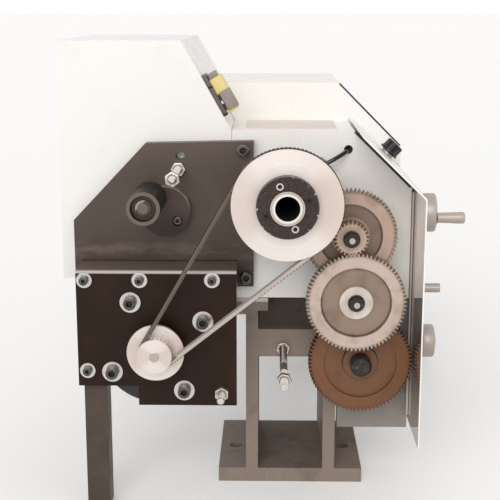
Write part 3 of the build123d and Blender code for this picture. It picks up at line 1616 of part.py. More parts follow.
# Tailstock

tail_end = tail_x + tail_length


def make_tailstock_body():
    """Tailstock casting, and its clamp plate, bolt and nut."""
    y0, y1 = bed_front + 3, bed_rear - 1
    base = block(tail_x, tail_end, y0, y1, saddle_bottom, tail_base_top)
    half = tail_column / 2
    column_end = tail_end - tail_barrel_start
    base += block(tail_x + tail_barrel_start, column_end, -half, half, tail_base_top, 0)
    barrel_end = column_end
    base += rod_x(tail_barrel, tail_x + tail_barrel_start, barrel_end)
    base += rod_x(tail_cap_diameter, barrel_end, barrel_end + tail_cap)
    base -= way_grooves(tail_x, tail_end)
    base -= rod_x(quill_diameter + 2 * running_clearance, tail_x, barrel_end + tail_cap - 6)
    base -= rod_x(tail_screw + 2 * running_clearance, tail_x, barrel_end + tail_cap + 1)
    lock_bore = quill_lock_shaft + 2 * running_clearance
    base -= rod_z(lock_bore, quill_diameter / 2, tail_barrel, tail_x + quill_lock_x, 0)
    bolt_x = (tail_x + tail_end) / 2
    bolt_y = bed_offset
    pocket = (tail_nut_flats + 12)
    base -= block(bolt_x - pocket, bolt_x + pocket, -half - 1, bolt_y + tail_nut_flats,
                  tail_base_top, tail_base_top + 30)
    base -= rod_z(tail_bolt + 2 * free_clearance, way_under, tail_base_top + 1, bolt_x, bolt_y)
    plate_top = way_under - way_clearance
    plate_half = tail_clamp_length / 2
    plate = block(bolt_x - plate_half, bolt_x + plate_half, wall_in_front + 1, wall_in_rear - 1,
                  plate_top - tail_clamp_thickness, plate_top)
    plate -= rod_z(tail_bolt, plate_top - tail_clamp_thickness - 1, plate_top + 1, bolt_x, bolt_y)
    bolt = rod_z(tail_bolt, plate_top - tail_clamp_thickness, tail_base_top + tail_nut_height + 4, bolt_x, bolt_y)
    outline = Pos(bolt_x, bolt_y) * RegularPolygon(tail_nut_flats / math.sqrt(3), 6)
    nut = extrude(Plane.XY.offset(tail_base_top) * outline, amount=tail_nut_height)
    nut -= rod_z(tail_bolt, tail_base_top - 1, tail_base_top + tail_nut_height + 1, bolt_x, bolt_y)
    return group(base, plate, bolt, nut)


def make_tailstock_quill():
    """Hollow quill with a socket for a centre."""
    front = tail_x + tail_barrel_start - quill_proud
    quill = rod_x(quill_diameter, front, front + quill_length)
    quill -= rod_x(quill_socket, front - 1, front + quill_socket_depth)
    quill -= rod_x(tail_screw + 2 * running_clearance, front, front + quill_length + 1)
    groove = block(front + quill_length * 0.2, front + quill_length * 0.9, -2, 2,
                   quill_diameter / 2 - 1.5, quill_diameter)
    return quill - groove


def make_tailstock_handwheel():
    """Tailstock handwheel with its screw, and its crank handle."""
    cap_end = tail_end - tail_barrel_start + tail_cap
    wheel_start = cap_end + free_clearance
    wheel_end = wheel_start + tail_wheel_width
    wheel = rod_x(tail_wheel_diameter, wheel_start, wheel_end)
    wheel = fillet(wheel.edges().filter_by(GeomType.CIRCLE), tail_wheel_width / 5)
    wheel += rod_x(tail_screw, tail_x + quill_socket_depth + 10, wheel_start)
    handle_z = 0.7 * tail_wheel_diameter / 2
    handle = Pos(wheel_end, 0, handle_z) * Rot(0, 90, 0) * crank_handle(crank_length, crank_diameter)
    return group(wheel, handle)


def make_quill_lock():
    """Lever that locks the quill."""
    x = tail_x + quill_lock_x
    top = tail_barrel / 2 + free_clearance
    lock = rod_z(quill_lock_shaft, quill_diameter / 2 + free_clearance, top, x, 0)
    lock += rod_z(quill_lock_hub, top, top + quill_lock_hub_height, x, 0)
    arm = Pos(x, 0, top + quill_lock_hub_height / 2) * Rot(65, 0, 0) * Pos(0, 0, quill_lock_arm / 2)
    lock += arm * Cylinder(quill_lock_shaft / 2.4, quill_lock_arm)
    return lock + arm * Pos(0, 0, quill_lock_arm / 2) * Sphere(quill_lock_knob / 2)


PARTS = {
    "bed": make_bed,
    "headstock_casting": make_headstock_casting,
    "headstock_cover": make_headstock_cover,
    "spindle_bearings": make_spindle_bearings,
    "front_panel": make_front_panel,
    "rear_box": make_rear_box,
    "interlock_switch": make_interlock_switch,
    "upper_plate": make_upper_plate,
    "motor_plate": make_motor_plate,
    "support_leg": make_support_leg,
    "plate_cap_screws": make_plate_cap_screws,
    "plate_washers": make_plate_washers,
    "studs_and_nuts": make_studs_and_nuts,
    "motor": make_motor,
    "drive_belt": make_drive_belt,
    "gear_quadrant": make_gear_quadrant,
    "gear_axles": make_gear_axles,
    "gear_axle_nuts": make_gear_axle_nuts,
    "leadscrew_brackets": make_leadscrew_brackets,
    "sensor_lead": make_sensor_lead,
    "spindle": make_spindle,
    "spindle_pulley": make_spindle_pulley,
    "hub_ring": make_hub_ring,
    "hub_ring_screws": make_hub_ring_screws,
    "spindle_gear": make_spindle_gear,
    "chuck_body": make_chuck_body,
    "chuck_scroll": make_chuck_scroll,
    "chuck_jaw_1": lambda: make_chuck_jaw(0),
    "chuck_jaw_2": lambda: make_chuck_jaw(1),
    "chuck_jaw_3": lambda: make_chuck_jaw(2),
    "motor_shaft": make_motor_shaft,
    "motor_pulley": make_motor_pulley,
    "stud_gear": make_stud_gear,
    "stud_pinion": make_stud_pinion,
    "cluster_gear": make_cluster_gear,
    "cluster_pinion": make_cluster_pinion,
    "leadscrew": make_leadscrew,
    "leadscrew_gear": make_leadscrew_gear,
    "leadscrew_nut": make_leadscrew_nut,
    "idler_disc": make_idler_disc,
    "idler_roller": make_idler_roller,
    "saddle": make_saddle,
    "apron": make_apron,
    "apron_handwheel": make_apron_handwheel,
    "half_nut_lever": make_half_nut_lever,
    "half_nut": make_half_nut,
    "cross_slide": make_cross_slide,
    "cross_handwheel": make_cross_handwheel,
    "compound_base": make_compound_base,
    "top_slide": make_top_slide,
    "top_handwheel": make_top_handwheel,
    "tool_post": make_tool_post,
    "tool_post_handle": make_tool_post_handle,
    "tailstock_body": make_tailstock_body,
    "tailstock_quill": make_tailstock_quill,
    "tailstock_handwheel": make_tailstock_handwheel,
    "quill_lock": make_quill_lock,
    "speed_knob": make_speed_knob,
    "stop_button": make_stop_button,
    "direction_switch": make_direction_switch,
}

os.makedirs("parts", exist_ok=True)
to_bench = Pos(-bolt_center_x, -bed_offset, center_height)
for name, make in PARTS.items():
    export_step(to_bench * make(), f"parts/{name}.step")
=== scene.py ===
# %% [markdown]
# # A bench lathe, seen from its drive end
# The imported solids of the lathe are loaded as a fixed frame. Every object is in metres, in the frame of the
# solids, so each new piece is built where the solids say it goes and nothing has to be fitted by eye.

# %% Load the frame
import bmesh
import bpy
import json
import math
from mathutils import Matrix, Vector

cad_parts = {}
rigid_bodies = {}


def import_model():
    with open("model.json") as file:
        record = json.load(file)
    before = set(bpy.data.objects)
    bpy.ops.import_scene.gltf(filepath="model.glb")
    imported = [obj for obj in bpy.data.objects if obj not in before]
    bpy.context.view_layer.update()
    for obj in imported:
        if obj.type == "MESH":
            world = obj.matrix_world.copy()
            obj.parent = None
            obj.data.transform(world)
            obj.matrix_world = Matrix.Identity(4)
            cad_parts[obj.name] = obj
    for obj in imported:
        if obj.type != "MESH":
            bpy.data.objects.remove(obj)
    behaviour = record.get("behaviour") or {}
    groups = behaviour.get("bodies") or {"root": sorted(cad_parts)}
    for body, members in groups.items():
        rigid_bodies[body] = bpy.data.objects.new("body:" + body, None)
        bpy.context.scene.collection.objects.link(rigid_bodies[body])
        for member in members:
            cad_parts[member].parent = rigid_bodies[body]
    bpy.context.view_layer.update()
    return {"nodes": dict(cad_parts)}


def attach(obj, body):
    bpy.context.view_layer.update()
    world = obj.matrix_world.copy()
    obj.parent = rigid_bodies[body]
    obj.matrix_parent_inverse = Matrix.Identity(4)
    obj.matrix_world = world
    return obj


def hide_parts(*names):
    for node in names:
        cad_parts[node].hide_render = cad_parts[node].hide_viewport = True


for left_over in list(bpy.data.objects):
    bpy.data.objects.remove(left_over)
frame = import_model()

# %% [markdown]
# The machine was measured from the point where the spindle axis meets the left face of the headstock, in
# millimetres. One function turns such a measure into the frame's metres, so the numbers below stay
# readable.

# %% The measuring point
DATUM = (-323.0, 5.0, 250.0)


def spot(x, y, z):
    """Millimetres from the measuring point, as metres in the frame."""
    return Vector((x + DATUM[0], y + DATUM[1], z + DATUM[2])) / 1000


def level(z):
    """A height in millimetres over the spindle's axis, as a height in the frame."""
    return spot(0, 0, z).z


print("spindle nose at", tuple(round(v, 4) for v in spot(226, 0, 0)))

# %% [markdown]
# ## Camera
# The photograph looks along the bed from the drive end, a little from above. A camera could be aimed with a
# Track To constraint; here its three axes are written out, so that it stays put in every other view.

# %% Camera
def added(name, data):
    """A new object in the scene."""
    thing = bpy.data.objects.new(name, data)
    bpy.context.collection.objects.link(thing)
    return thing


EYE = (-1.181, 0.0179, 0.3894)
DOWN, LEFT = math.radians(12.35), math.radians(1.04)
LENS, FILM_WIDTH = 79.2, 36.0
forward = Vector((math.cos(DOWN) * math.cos(LEFT), math.cos(DOWN) * math.sin(LEFT), -math.sin(DOWN)))
right = Vector((math.sin(LEFT), -math.cos(LEFT), 0))
upward = right.cross(forward)
axes = Matrix((right, upward, -forward)).transposed()
camera = added("camera", bpy.data.cameras.new("camera"))
camera.matrix_world = Matrix.Translation(EYE) @ axes.to_4x4()
camera.data.lens, camera.data.sensor_width = LENS, FILM_WIDTH
camera.data.clip_start, camera.data.clip_end = 0.05, 400.0
bpy.context.scene.camera = camera
print("camera looks", tuple(round(v, 3) for v in forward))

# %% [markdown]
# ## Shader maths as plain expressions
# A node tree gets long when every product is wired by hand. The small class below stands for one output
# socket: its operators add Math nodes, and its node method adds any other node. The same class serves
# Geometry Nodes.

# %% Values that are sockets
class Value:
    """An output socket, so that sums, masks and mixes read as Python."""

    def __init__(self, tree, socket):
        self.tree, self.socket = tree, socket

    def node(self, kind, inputs=None, output=0, **settings):
        """Adds a node of this type: its settings first, then the values or links of its sockets."""
        made = self.tree.nodes.new(kind)
        for name, setting in settings.items():
            setattr(made, name, setting)
        for name, value in (inputs or {}).items():
            for part in value if isinstance(value, list) else [value]:
                if isinstance(part, Value):
                    self.tree.links.new(part.socket, made.inputs[name])
                else:
                    made.inputs[name].default_value = part
        return Value(self.tree, made.outputs[output])

    def maths(self, operation, first, second=0.0):
        return self.node("ShaderNodeMath", {0: first, 1: second}, operation=operation)

    def __add__(self, other):
        return self.maths("ADD", self, other)

    def __radd__(self, other):
        return self.maths("ADD", other, self)

    def __sub__(self, other):
        return self.maths("SUBTRACT", self, other)

    def __rsub__(self, other):
        return self.maths("SUBTRACT", other, self)

    def __mul__(self, other):
        return self.maths("MULTIPLY", self, other)

    def __rmul__(self, other):
        return self.maths("MULTIPLY", other, self)

    def __pow__(self, other):
        return self.maths("POWER", self, other)

    def ramp(self, low, high):
        """A soft step from 0 at low to 1 at high; low may be the greater."""
        return self.node("ShaderNodeMapRange", {"Value": self, "From Min": low, "From Max": high},
                         interpolation_type="SMOOTHSTEP")

    def between(self, low, high, soft):
        """1 from low to high, with soft edges."""
        return self.ramp(low - soft, low + soft) * self.ramp(high + soft, high - soft)

    def tint(self, under, over):
        """The colour over where this value is 1, and the colour under where it is 0."""
        return self.node("ShaderNodeMix", {0: self, 6: under, 7: over}, 2, data_type="RGBA")


def rgb(red, green, blue):
    """A colour as it shows on a screen, 0 to 255, as the linear colour of a socket."""
    parts = [c / 255 for c in (red, green, blue)]
    return (*[c / 12.92 if c <= 0.04045 else ((c + 0.055) / 1.055) ** 2.4 for c in parts], 1.0)


print("mid grey", [round(c, 3) for c in rgb(128, 128, 128)])

# %% [markdown]
# A finish is written as a recipe that gets the object's own coordinates and gives back what varies over the
# surface. Numbers that are the same all over go straight onto the shader's sockets.

# %% How a finish is made
FINISHES = {}


def finish(name, recipe, **constants):
    """A material from a recipe of what varies and constants for the shader's own sockets."""
    material = bpy.data.materials.new(name)
    material.use_nodes = True
    tree = material.node_tree
    shader = tree.nodes["Principled BSDF"]
    for socket, value in constants.items():
        shader.inputs[socket.replace("_", " ").replace("ior", "IOR")].default_value = value
    where = tree.nodes.new("ShaderNodeTexCoord")
    here = Value(tree, where.outputs["Object"])
    varies = recipe(here)
    if "height" in varies:
        height, distance = varies.pop("height")
        varies["Normal"] = here.node("ShaderNodeBump", {"Distance": distance, "Height": height})
    for socket, value in varies.items():
        tree.links.new(value.socket, shader.inputs[socket])
    material.diffuse_color = shader.inputs["Base Color"].default_value
    FINISHES[name] = material
    print("finish", name, "with", len(tree.nodes), "nodes")
    return material


def noise(here, scale, detail=3.0, stretch=(1, 1, 1), turn=(0, 0, 0), roughness=0.55):
    """Cloudy noise from 0 to 1, scale lumps to the metre, drawn out along an axis by stretch."""
    mapped = here
    if stretch != (1, 1, 1) or turn != (0, 0, 0):
        mapped = here.node("ShaderNodeMapping", {"Vector": here, "Scale": stretch, "Rotation": turn})
    return here.node("ShaderNodeTexNoise",
                     {"Vector": mapped, "Scale": scale, "Detail": detail, "Roughness": roughness})


def part(here, axis):
    """One coordinate, 0 for X, 1 for Y and 2 for Z, in metres."""
    return here.node("ShaderNodeSeparateXYZ", {0: here}, axis)


def from_axis(here, y, z):
    """How far across and up from an axis along X that passes through y, z, given in millimetres."""
    center = spot(0, y, z)
    moved = here.node("ShaderNodeMapping", {"Vector": here, "Location": (0, -center.y, -center.z)})
    return part(moved, 1), part(moved, 2)


def radius_x(here, y, z):
    """Distance from such an axis, in metres."""
    across, height = from_axis(here, y, z)
    return (across * across + height * height) ** 0.5


def scratches(here, amount, along=1, seed=0.0):
    """Thin scratches in three slants, 1 on a scratch. along is the axis that most of them follow."""
    found = None
    for index, slant in enumerate((0.05, -0.6, 0.9)):
        stretch = [150.0, 150.0, 150.0]
        stretch[along] = 2.5
        turn = (slant + seed, 0.2 * index, 0.1 * index)
        lines = noise(here, 9.0, 2.0, tuple(stretch), turn).ramp(0.69 - amount, 0.74 - amount)
        found = lines if found is None else found.maths("MAXIMUM", found, lines)
    return found * noise(here, 14.0, 2.0, turn=(seed, 1, 0)).ramp(0.42, 0.62)


# %% [markdown]
# ## Sheet metal paint
# The covers are pressed sheet with a cream satin paint. Sprayed paint is never flat: it has a fine orange
# peel, finger smudges that change its gloss, and a little grime that gathers low down. The peel is bump,
# because it is far finer than a vertex could be.

# %% Cream paint
def cream_paint(here):
    smudge = noise(here, 26.0, 5.0).ramp(0.5, 0.78)
    grime = part(here, 2).ramp(0.16, 0.02) * noise(here, 60.0, 4.0).ramp(0.35, 0.8)
    clean = noise(here, 9.0, 2.0).tint(rgb(251, 249, 245), rgb(253, 252, 249))
    soiled = (smudge * 0.3).tint(clean, rgb(234, 226, 217))
    return {"Base Color": (grime * 0.5).tint(soiled, rgb(190, 178, 165)),
            "Roughness": 0.26 + smudge * 0.14,
            "height": (noise(here, 900.0, 1.0), 0.00002)}


def panel_paint(here):
    """The same cream outside; the inner face is grey and glossy, and mirrors what stands behind it."""
    made = cream_paint(here)
    inner = part(here, 1).ramp(spot(0, -101.5, 0).y, spot(0, -101.3, 0).y)
    inner = inner * part(here, 2).ramp(level(2.5), level(1.5))
    brushed = noise(here, 40.0, 4.0, (1.0, 1.0, 0.12))
    sheet = brushed.tint(rgb(232, 220, 212), rgb(246, 237, 231))
    # Painted reflection: the inner face is darker low down, where it mirrors the dark bed below the
    # headstock.
    low = part(here, 2).ramp(level(-70), level(-112))
    made["Base Color"] = inner.tint(made["Base Color"], (low * 0.6).tint(sheet, rgb(160, 138, 122)))
    made["Roughness"] = made["Roughness"] - inner * 0.17
    made["Metallic"] = inner * 0.75
    return made


finish("cream_sheet_paint", cream_paint, Specular_ior_Level=0.5)
finish("panel_paint", panel_paint, Specular_ior_Level=0.5)

# %% [markdown]
# ## Cast bed
# The bed is cast iron under grey machine paint, with its ways ground bright. The ground faces are picked
# out by height: a mask on Z changes colour, metal and gloss together, so the solid needs no second
# material.

# %% Bed paint and ground ways
WAY_TOP = level(-90)


def bed_paint(here):
    ground = part(here, 2).ramp(WAY_TOP - 0.0034, WAY_TOP - 0.0030)
    lumps = noise(here, 340.0, 3.0)
    paint = lumps.tint(rgb(129, 114, 104), rgb(151, 135, 124))
    stain = noise(here, 38.0, 4.0).ramp(0.52, 0.72)
    paint = (stain * 0.6).tint(paint, rgb(100, 87, 78))
    lines = noise(here, 30.0, 3.0, (2.0, 90.0, 90.0))
    steel = lines.tint(rgb(150, 146, 141), rgb(196, 192, 187))
    return {"Base Color": ground.tint(paint, steel),
            "Metallic": ground,
            "Roughness": 0.46 - ground * 0.16 + lines * 0.08,
            "height": (lumps * (1 - ground * 0.9), 0.0003)}


finish("bed_grey_paint", bed_paint)

# %% [markdown]
# Smaller castings are the same iron, left with a thin grey coat over a sand-cast skin.

# %% Cast iron
def cast_iron(here):
    skin = noise(here, 520.0, 4.0)
    cloud = noise(here, 30.0, 3.0)
    oil = noise(here, 55.0, 5.0).ramp(0.55, 0.75)
    grey = cloud.tint(rgb(128, 122, 116), rgb(150, 144, 138))
    return {"Base Color": (oil * 0.55).tint(grey, rgb(98, 90, 83)),
            "Roughness": 0.5 - oil * 0.2,
            "height": (skin, 0.00022)}


finish("grey_casting", cast_iron, Metallic=0.15)

# %% [markdown]
# ## The two plates of the drive
# Both plates are blackened steel that has been handled and wiped: fine pale scratches and cloudy hand marks.
# Light and shade are painted in as well. The upper plate is painted lighter towards its top and darker low
# down, and its pale band near the lower edge is partly a wiped mark and partly a painted reflection. The
# motor plate has a painted highlight along its top bend, a shelf top painted lighter as lit from above, and
# painted shade in the corner where the shelf meets the upper plate. Scratches are noise stretched a hundred
# times along one axis and cut off high, so that only its ridges are left as lines.

# %% Blackened plates
def upper_black(here):
    height = part(here, 2)
    # Partly a wiped mark and partly a painted reflection: a pale band near the plate's lower edge.
    band = height.between(level(-52), level(-41), 0.005)
    smear_and_reflection = band * noise(here, 30.0, 4.0, (1, 1, 3)).ramp(0.4, 0.66)
    hands = noise(here, 30.0, 4.0).ramp(0.36, 0.74)
    lines = scratches(here, -0.015)
    # Painted light and shade: the plate is darker low down and lighter towards its top.
    low = height.ramp(level(-20), level(-60))
    high = height.ramp(level(10), level(62))
    dark = low.tint((high * 0.5).tint(rgb(82, 69, 61), rgb(118, 103, 94)), rgb(70, 57, 49))
    marked = (hands * 0.4).tint(dark, rgb(98, 85, 76))
    marked = (smear_and_reflection * 0.4).tint(marked, rgb(140, 125, 114))
    return {"Base Color": (lines * 0.22).tint(marked, rgb(160, 147, 137)),
            "Roughness": 0.38 + hands * 0.16,
            "height": (noise(here, 700.0, 2.0), 0.00004)}


def motor_plate_black(here):
    hands = noise(here, 30.0, 5.0).ramp(0.45, 0.74)
    height, along = part(here, 2), part(here, 0)
    # Painted highlight: a bright line along the rounded bend at the plate's top.
    bend = height.between(level(-57.4), level(-55.3), 0.0005)
    bend = bend * along.ramp(spot(-41.5, 0, 0).x, spot(-43.5, 0, 0).x)
    # Painted light: the shelf's top is lighter, as lit from above.
    shelf = height.ramp(level(-55.2), level(-54.8))
    # Painted shade: darker in the corner where the shelf meets the upper plate.
    crease = shelf * along.ramp(spot(-17.0, 0, 0).x, spot(-12.0, 0, 0).x)
    dark = noise(here, 14.0, 3.0).tint(rgb(32, 17, 8), rgb(44, 26, 14))
    dark = shelf.tint(dark, noise(here, 30.0, 3.0).tint(rgb(94, 79, 69), rgb(120, 104, 93)))
    dark = (crease * 0.8).tint(dark, rgb(30, 20, 14))
    marked = (hands * 0.25).tint(dark, rgb(66, 47, 34))
    return {"Base Color": (bend * 0.9).tint(marked, rgb(205, 193, 184)),
            "Roughness": 0.36 + hands * 0.18,
            "height": (noise(here, 800.0, 2.0), 0.00004)}


finish("upper_plate_black", upper_black, Specular_ior_Level=0.35)
finish("motor_plate_black", motor_plate_black, Specular_ior_Level=0.18)

# %% Motor paint
def motor_paint(here):
    peel = noise(here, 650.0, 2.0)
    dust = noise(here, 40.0, 5.0).ramp(0.5, 0.75)
    return {"Base Color": (dust * 0.5).tint(rgb(33, 31, 30), rgb(74, 70, 66)),
            "Roughness": 0.4 + dust * 0.25,
            "height": (peel, 0.00012)}


finish("motor_black_paint", motor_paint)

# %% [markdown]
# ## Turned metal
# A lathe tool leaves fine rings on a turned face. One-dimensional noise read along the radius gives rings
# of uneven depth. Such rings throw the light in fans, and the face looks duller to the left and right of
# its axis; the two dull fans are part of the colour.

# %% Turned faces
def turned(pale, dull, y, z, rings, rough, depth):
    """A recipe for metal turned about an axis along X through y, z."""
    def recipe(here):
        out = radius_x(here, y, z)
        ring = here.node("ShaderNodeTexNoise",
                         {"W": out * rings, "Scale": 1.0, "Detail": 3.0, "Roughness": 0.6},
                         noise_dimensions="1D")
        haze = noise(here, 24.0, 3.0).ramp(0.4, 0.65)
        across = part(here, 1) - spot(0, y, z).y
        fan = (across.maths("ABSOLUTE", across) - out * 0.6).ramp(0.0, 0.34 * out)
        shade = ring.ramp(0.25, 0.75).tint(dull, pale)
        return {"Base Color": (haze * 0.35 + fan * 0.6).tint(shade, dull),
                "Roughness": rough + haze * 0.1,
                "height": (ring, depth)}
    return recipe


SPINDLE, MOTOR = (0.0, 0.0), (99.1, -115.2)
IDLER, IDLER_DISC = (105.4, -3.0), (94.0, -13.8)
bright, soft = rgb(254, 250, 246), rgb(212, 196, 187)
finish("spindle_pulley_aluminium", turned(bright, soft, *SPINDLE, 2600.0, 0.3, 0.00006), Metallic=0.5)
finish("motor_pulley_aluminium", turned(bright, soft, *MOTOR, 2600.0, 0.3, 0.00006), Metallic=0.5)


def satin_alloy(here):
    cloud = noise(here, 60.0, 4.0)
    return {"Base Color": cloud.tint(rgb(178, 166, 157), rgb(196, 184, 175)),
            "Roughness": 0.36 + cloud * 0.12,
            "height": (noise(here, 900.0, 2.0), 0.00003)}


finish("wheel_metal", satin_alloy, Metallic=0.4)

# %% [markdown]
# The idler is a dark sleeve on a ball bearing. Seen from its end it is a set of rings: sleeve, black gap,
# bearing shield, bright retaining ring and shaft. Each is a step in the distance to the idler's axis.

# %% Idler
def stepped(here, center, colours):
    """A colour that changes at each radius in millimetres, from the outside in."""
    out = radius_x(here, *center)
    colour = None
    for radius, shown in colours:
        edge = out.ramp(radius / 1000 + 0.00012, radius / 1000 - 0.00012)
        colour = edge.tint(colour or shown, shown)
    return colour


def idler_end(here):
    cloud = noise(here, 300.0, 4.0)
    rings = stepped(here, IDLER, ((13.0, rgb(24, 14, 10)), (12.5, rgb(106, 93, 84)), (9.7, rgb(16, 9, 6)),
                                  (8.7, rgb(54, 42, 34)), (6.6, rgb(24, 15, 11)), (5.6, rgb(240, 230, 222)),
                                  (4.9, rgb(24, 15, 11))))
    return {"Base Color": (cloud.ramp(0.5, 0.8) * 0.3).tint(rings, rgb(52, 41, 34)),
            "Roughness": 0.3 + cloud * 0.2,
            "height": (cloud, 0.00005)}


def idler_plate(here):
    """The disc and the shaft: painted shade low down, a painted highlight along its upper rim, and a pale
    shaft end.
    """
    cloud = noise(here, 70.0, 4.0)
    height = part(here, 2)
    # Painted shade: the disc is darker low down and lighter on its upper part.
    low = height.ramp(level(-2), level(-30))
    upper = cloud.tint(rgb(60, 46, 37), rgb(92, 75, 63))
    plate = low.tint(upper, cloud.tint(rgb(30, 18, 11), rgb(50, 34, 24)))
    # Painted highlight: a bright line along the upper half of the disc's rim.
    rim = radius_x(here, *IDLER_DISC).ramp(0.0189, 0.0193) * height.ramp(level(-16), level(-4))
    plate = (rim * 0.7).tint(plate, rgb(188, 172, 160))
    shaft = radius_x(here, *IDLER).ramp(0.0043, 0.0040)
    return {"Base Color": shaft.tint(plate, rgb(112, 96, 86)),
            "Roughness": 0.2 + cloud * 0.14,
            "height": (noise(here, 500.0, 3.0), 0.00005)}


finish("idler_steel", idler_end, Metallic=0.3)
finish("idler_plate_steel", idler_plate, Metallic=0.3)

# %% [markdown]
# Ground steel has straight, fine grinding lines; here they run along the bed, as the wheel of a surface
# grinder leaves them.

# %% Ground steel
def ground_steel(here):
    lines = noise(here, 34.0, 4.0, (4.0, 120.0, 120.0))
    cloud = noise(here, 36.0, 4.0).ramp(0.4, 0.75)
    steel = lines.tint(rgb(160, 155, 150), rgb(206, 202, 197))
    return {"Base Color": (cloud * 0.3).tint(steel, rgb(140, 132, 124)),
            "Roughness": 0.24 + cloud * 0.16,
            "height": (lines, 0.00005)}


def plated(here):
    cloud = noise(here, 60.0, 3.0)
    pits = noise(here, 420.0, 3.0).ramp(0.6, 0.72)
    zinc = cloud.tint(rgb(196, 191, 186), rgb(222, 218, 214))
    return {"Base Color": (pits * 0.4).tint(zinc, rgb(136, 128, 120)),
            "Roughness": 0.14 + cloud * 0.14 + pits * 0.2,
            "height": (pits, 0.00005)}


finish("ground_steel", ground_steel, Metallic=0.95)
finish("bright_plating", plated, Metallic=1.0)
finish("zinc_plating", plated, Metallic=0.9)

# %% [markdown]
# The spindle is ground steel, with a chamfered end and a bore that is near black inside.

# %% Spindle
def spindle_rings(here):
    made = ground_steel(here)
    rings = stepped(here, SPINDLE, ((13.2, rgb(196, 186, 178)), (11.6, rgb(150, 138, 129)),
                                    (11.2, rgb(214, 205, 198)), (10.1, rgb(238, 232, 226)),
                                    (9.1, rgb(7, 5, 4))))
    inside = radius_x(here, *SPINDLE).ramp(0.0092, 0.0090)
    tail = part(here, 0).ramp(spot(-60.0, 0, 0).x, spot(-62.0, 0, 0).x)
    made["Base Color"] = tail.maths("MAXIMUM", tail, inside).tint(made["Base Color"], rings)
    made["Metallic"] = 0.9 - inside * 0.9
    made["Roughness"] = made["Roughness"] + inside * 0.5
    return made


finish("spindle_steel", spindle_rings)

# %% [markdown]
# Blackened fasteners and the hub ring are oxide over steel. The ring has been knocked: its edge is chipped
# back to pale metal, so a mask of coarse noise near its rim lets the steel show.

# %% Black oxide
def black_oxide(here):
    mottle = noise(here, 300.0, 4.0)
    worn = noise(here, 160.0, 4.0).ramp(0.6, 0.72)
    dark = mottle.tint(rgb(26, 23, 21), rgb(58, 52, 48))
    return {"Base Color": (worn * 0.35).tint(dark, rgb(128, 118, 110)),
            "Roughness": 0.3 + mottle * 0.2,
            "height": (mottle, 0.00012)}


def hub_oxide(here):
    out = radius_x(here, *SPINDLE)
    mottle = noise(here, 900.0, 3.0).ramp(0.3, 0.7)
    rim = out.between(0.0216, 0.0232, 0.0004)
    chips = rim * noise(here, 190.0, 3.0).ramp(0.62, 0.66)
    dark = mottle.tint(rgb(22, 14, 9), rgb(66, 51, 42))
    return {"Base Color": chips.tint(dark, rgb(205, 196, 188)),
            "Metallic": chips * 0.6 + 0.3,
            "Roughness": 0.34 + mottle * 0.2,
            "height": (mottle - chips * 0.5, 0.0002)}


def hub_screws(here):
    """Two of the four screws have a painted highlight round their sockets, where the light catches them."""
    made = black_oxide(here)
    one, two = radius_x(here, 5.64, 15.5), radius_x(here, -5.64, -15.5)
    # Painted highlight: a bright ring round the sockets of two screws.
    glint_ring = one.maths("MINIMUM", one, two).between(0.0016, 0.0030, 0.0002)
    made["Base Color"] = glint_ring.tint(made["Base Color"], rgb(212, 203, 196))
    return made


finish("black_oxide", black_oxide, Metallic=0.4)
finish("hub_ring_oxide", hub_oxide)
finish("hub_screw_steel", hub_screws, Metallic=0.4)

# %% [markdown]
# ## Change gears
# Each gear shows a machined rim, a darker recessed web and a bright boss. They come from the distance to
# the gear's own axis, and a film of old oil darkens the roots of the teeth. A dark ring of painted shadow
# runs round the edge of a recess.

# %% Gear steel
def gear_recipe(center, rim, web, boss, web_out, boss_out, tooth_root, recess_shadow):
    """A recipe for one gear: rim, web and boss colours and the radii, in millimetres, where they change."""
    def recipe(here):
        out = radius_x(here, *center)
        cloud = noise(here, 70.0, 4.0)
        fine = noise(here, 500.0, 3.0)
        colour = out.ramp(web_out / 1000 - 0.0002, web_out / 1000 + 0.0002).tint(web, rim)
        colour = out.ramp(boss_out / 1000 + 0.0002, boss_out / 1000 - 0.0002).tint(colour, boss)
        shade = cloud.ramp(0.45, 0.75) * 0.3 + out.ramp(tooth_root / 1000, tooth_root / 1000 + 0.0016) * 0.35
        # Painted shadow: a dark ring round the edge of the recess.
        if recess_shadow:
            shade = shade + out.between(recess_shadow / 1000 - 0.0006, recess_shadow / 1000 + 0.0006, 0.0004) * 0.75
        oily = cloud.ramp(0.5, 0.7)
        return {"Base Color": shade.tint(colour, rgb(62, 50, 42)),
                "Roughness": 0.42 - oily * 0.12 + fine * 0.1,
                "height": (fine, 0.00006)}
    return recipe


STUD, CLUSTER, LEADSCREW = (-49.03, -30.04), (-53.56, -79.84), (-59.31, -134.54)
# Metal and axis, the colours of rim, web and boss, then the radii of web, boss, tooth root and painted recess
# shadow
GEARS = {
    "first_gear_steel": (0.3, STUD, (186, 160, 146), (130, 109, 96), (168, 146, 126),
                         24.0, 14.8, 32.0, 24.2),
    "first_pinion_brass": (0.35, STUD, (192, 165, 146), (184, 158, 140), (190, 164, 146),
                           9.0, 5.0, 10.6, None),
    "second_gear_steel": (0.3, CLUSTER, (202, 183, 170), (150, 128, 114), (220, 208, 199),
                          26.5, 12.8, 34.6, 26.7),
    "leadscrew_gear_steel": (0.25, LEADSCREW, (120, 78, 49), (118, 80, 53), (120, 82, 56),
                             29.0, 13.8, 37.0, 14.0),
    "spindle_gear_steel": (0.4, SPINDLE, (170, 158, 148), (150, 138, 128), (150, 138, 128),
                           14.0, 8.0, 20.0, None),
}
for name, (metal, center, rim, web, boss, *radii) in GEARS.items():
    finish(name, gear_recipe(center, rgb(*rim), rgb(*web), rgb(*boss), *radii), Metallic=metal)

# %% [markdown]
# ## Plastics, rubber and cable
# Moulded plastic is glossy with a very fine texture and a few dull rub marks; the belt is rubber with a
# fabric face towards the pulleys, and its lower run is painted pale, as lit.

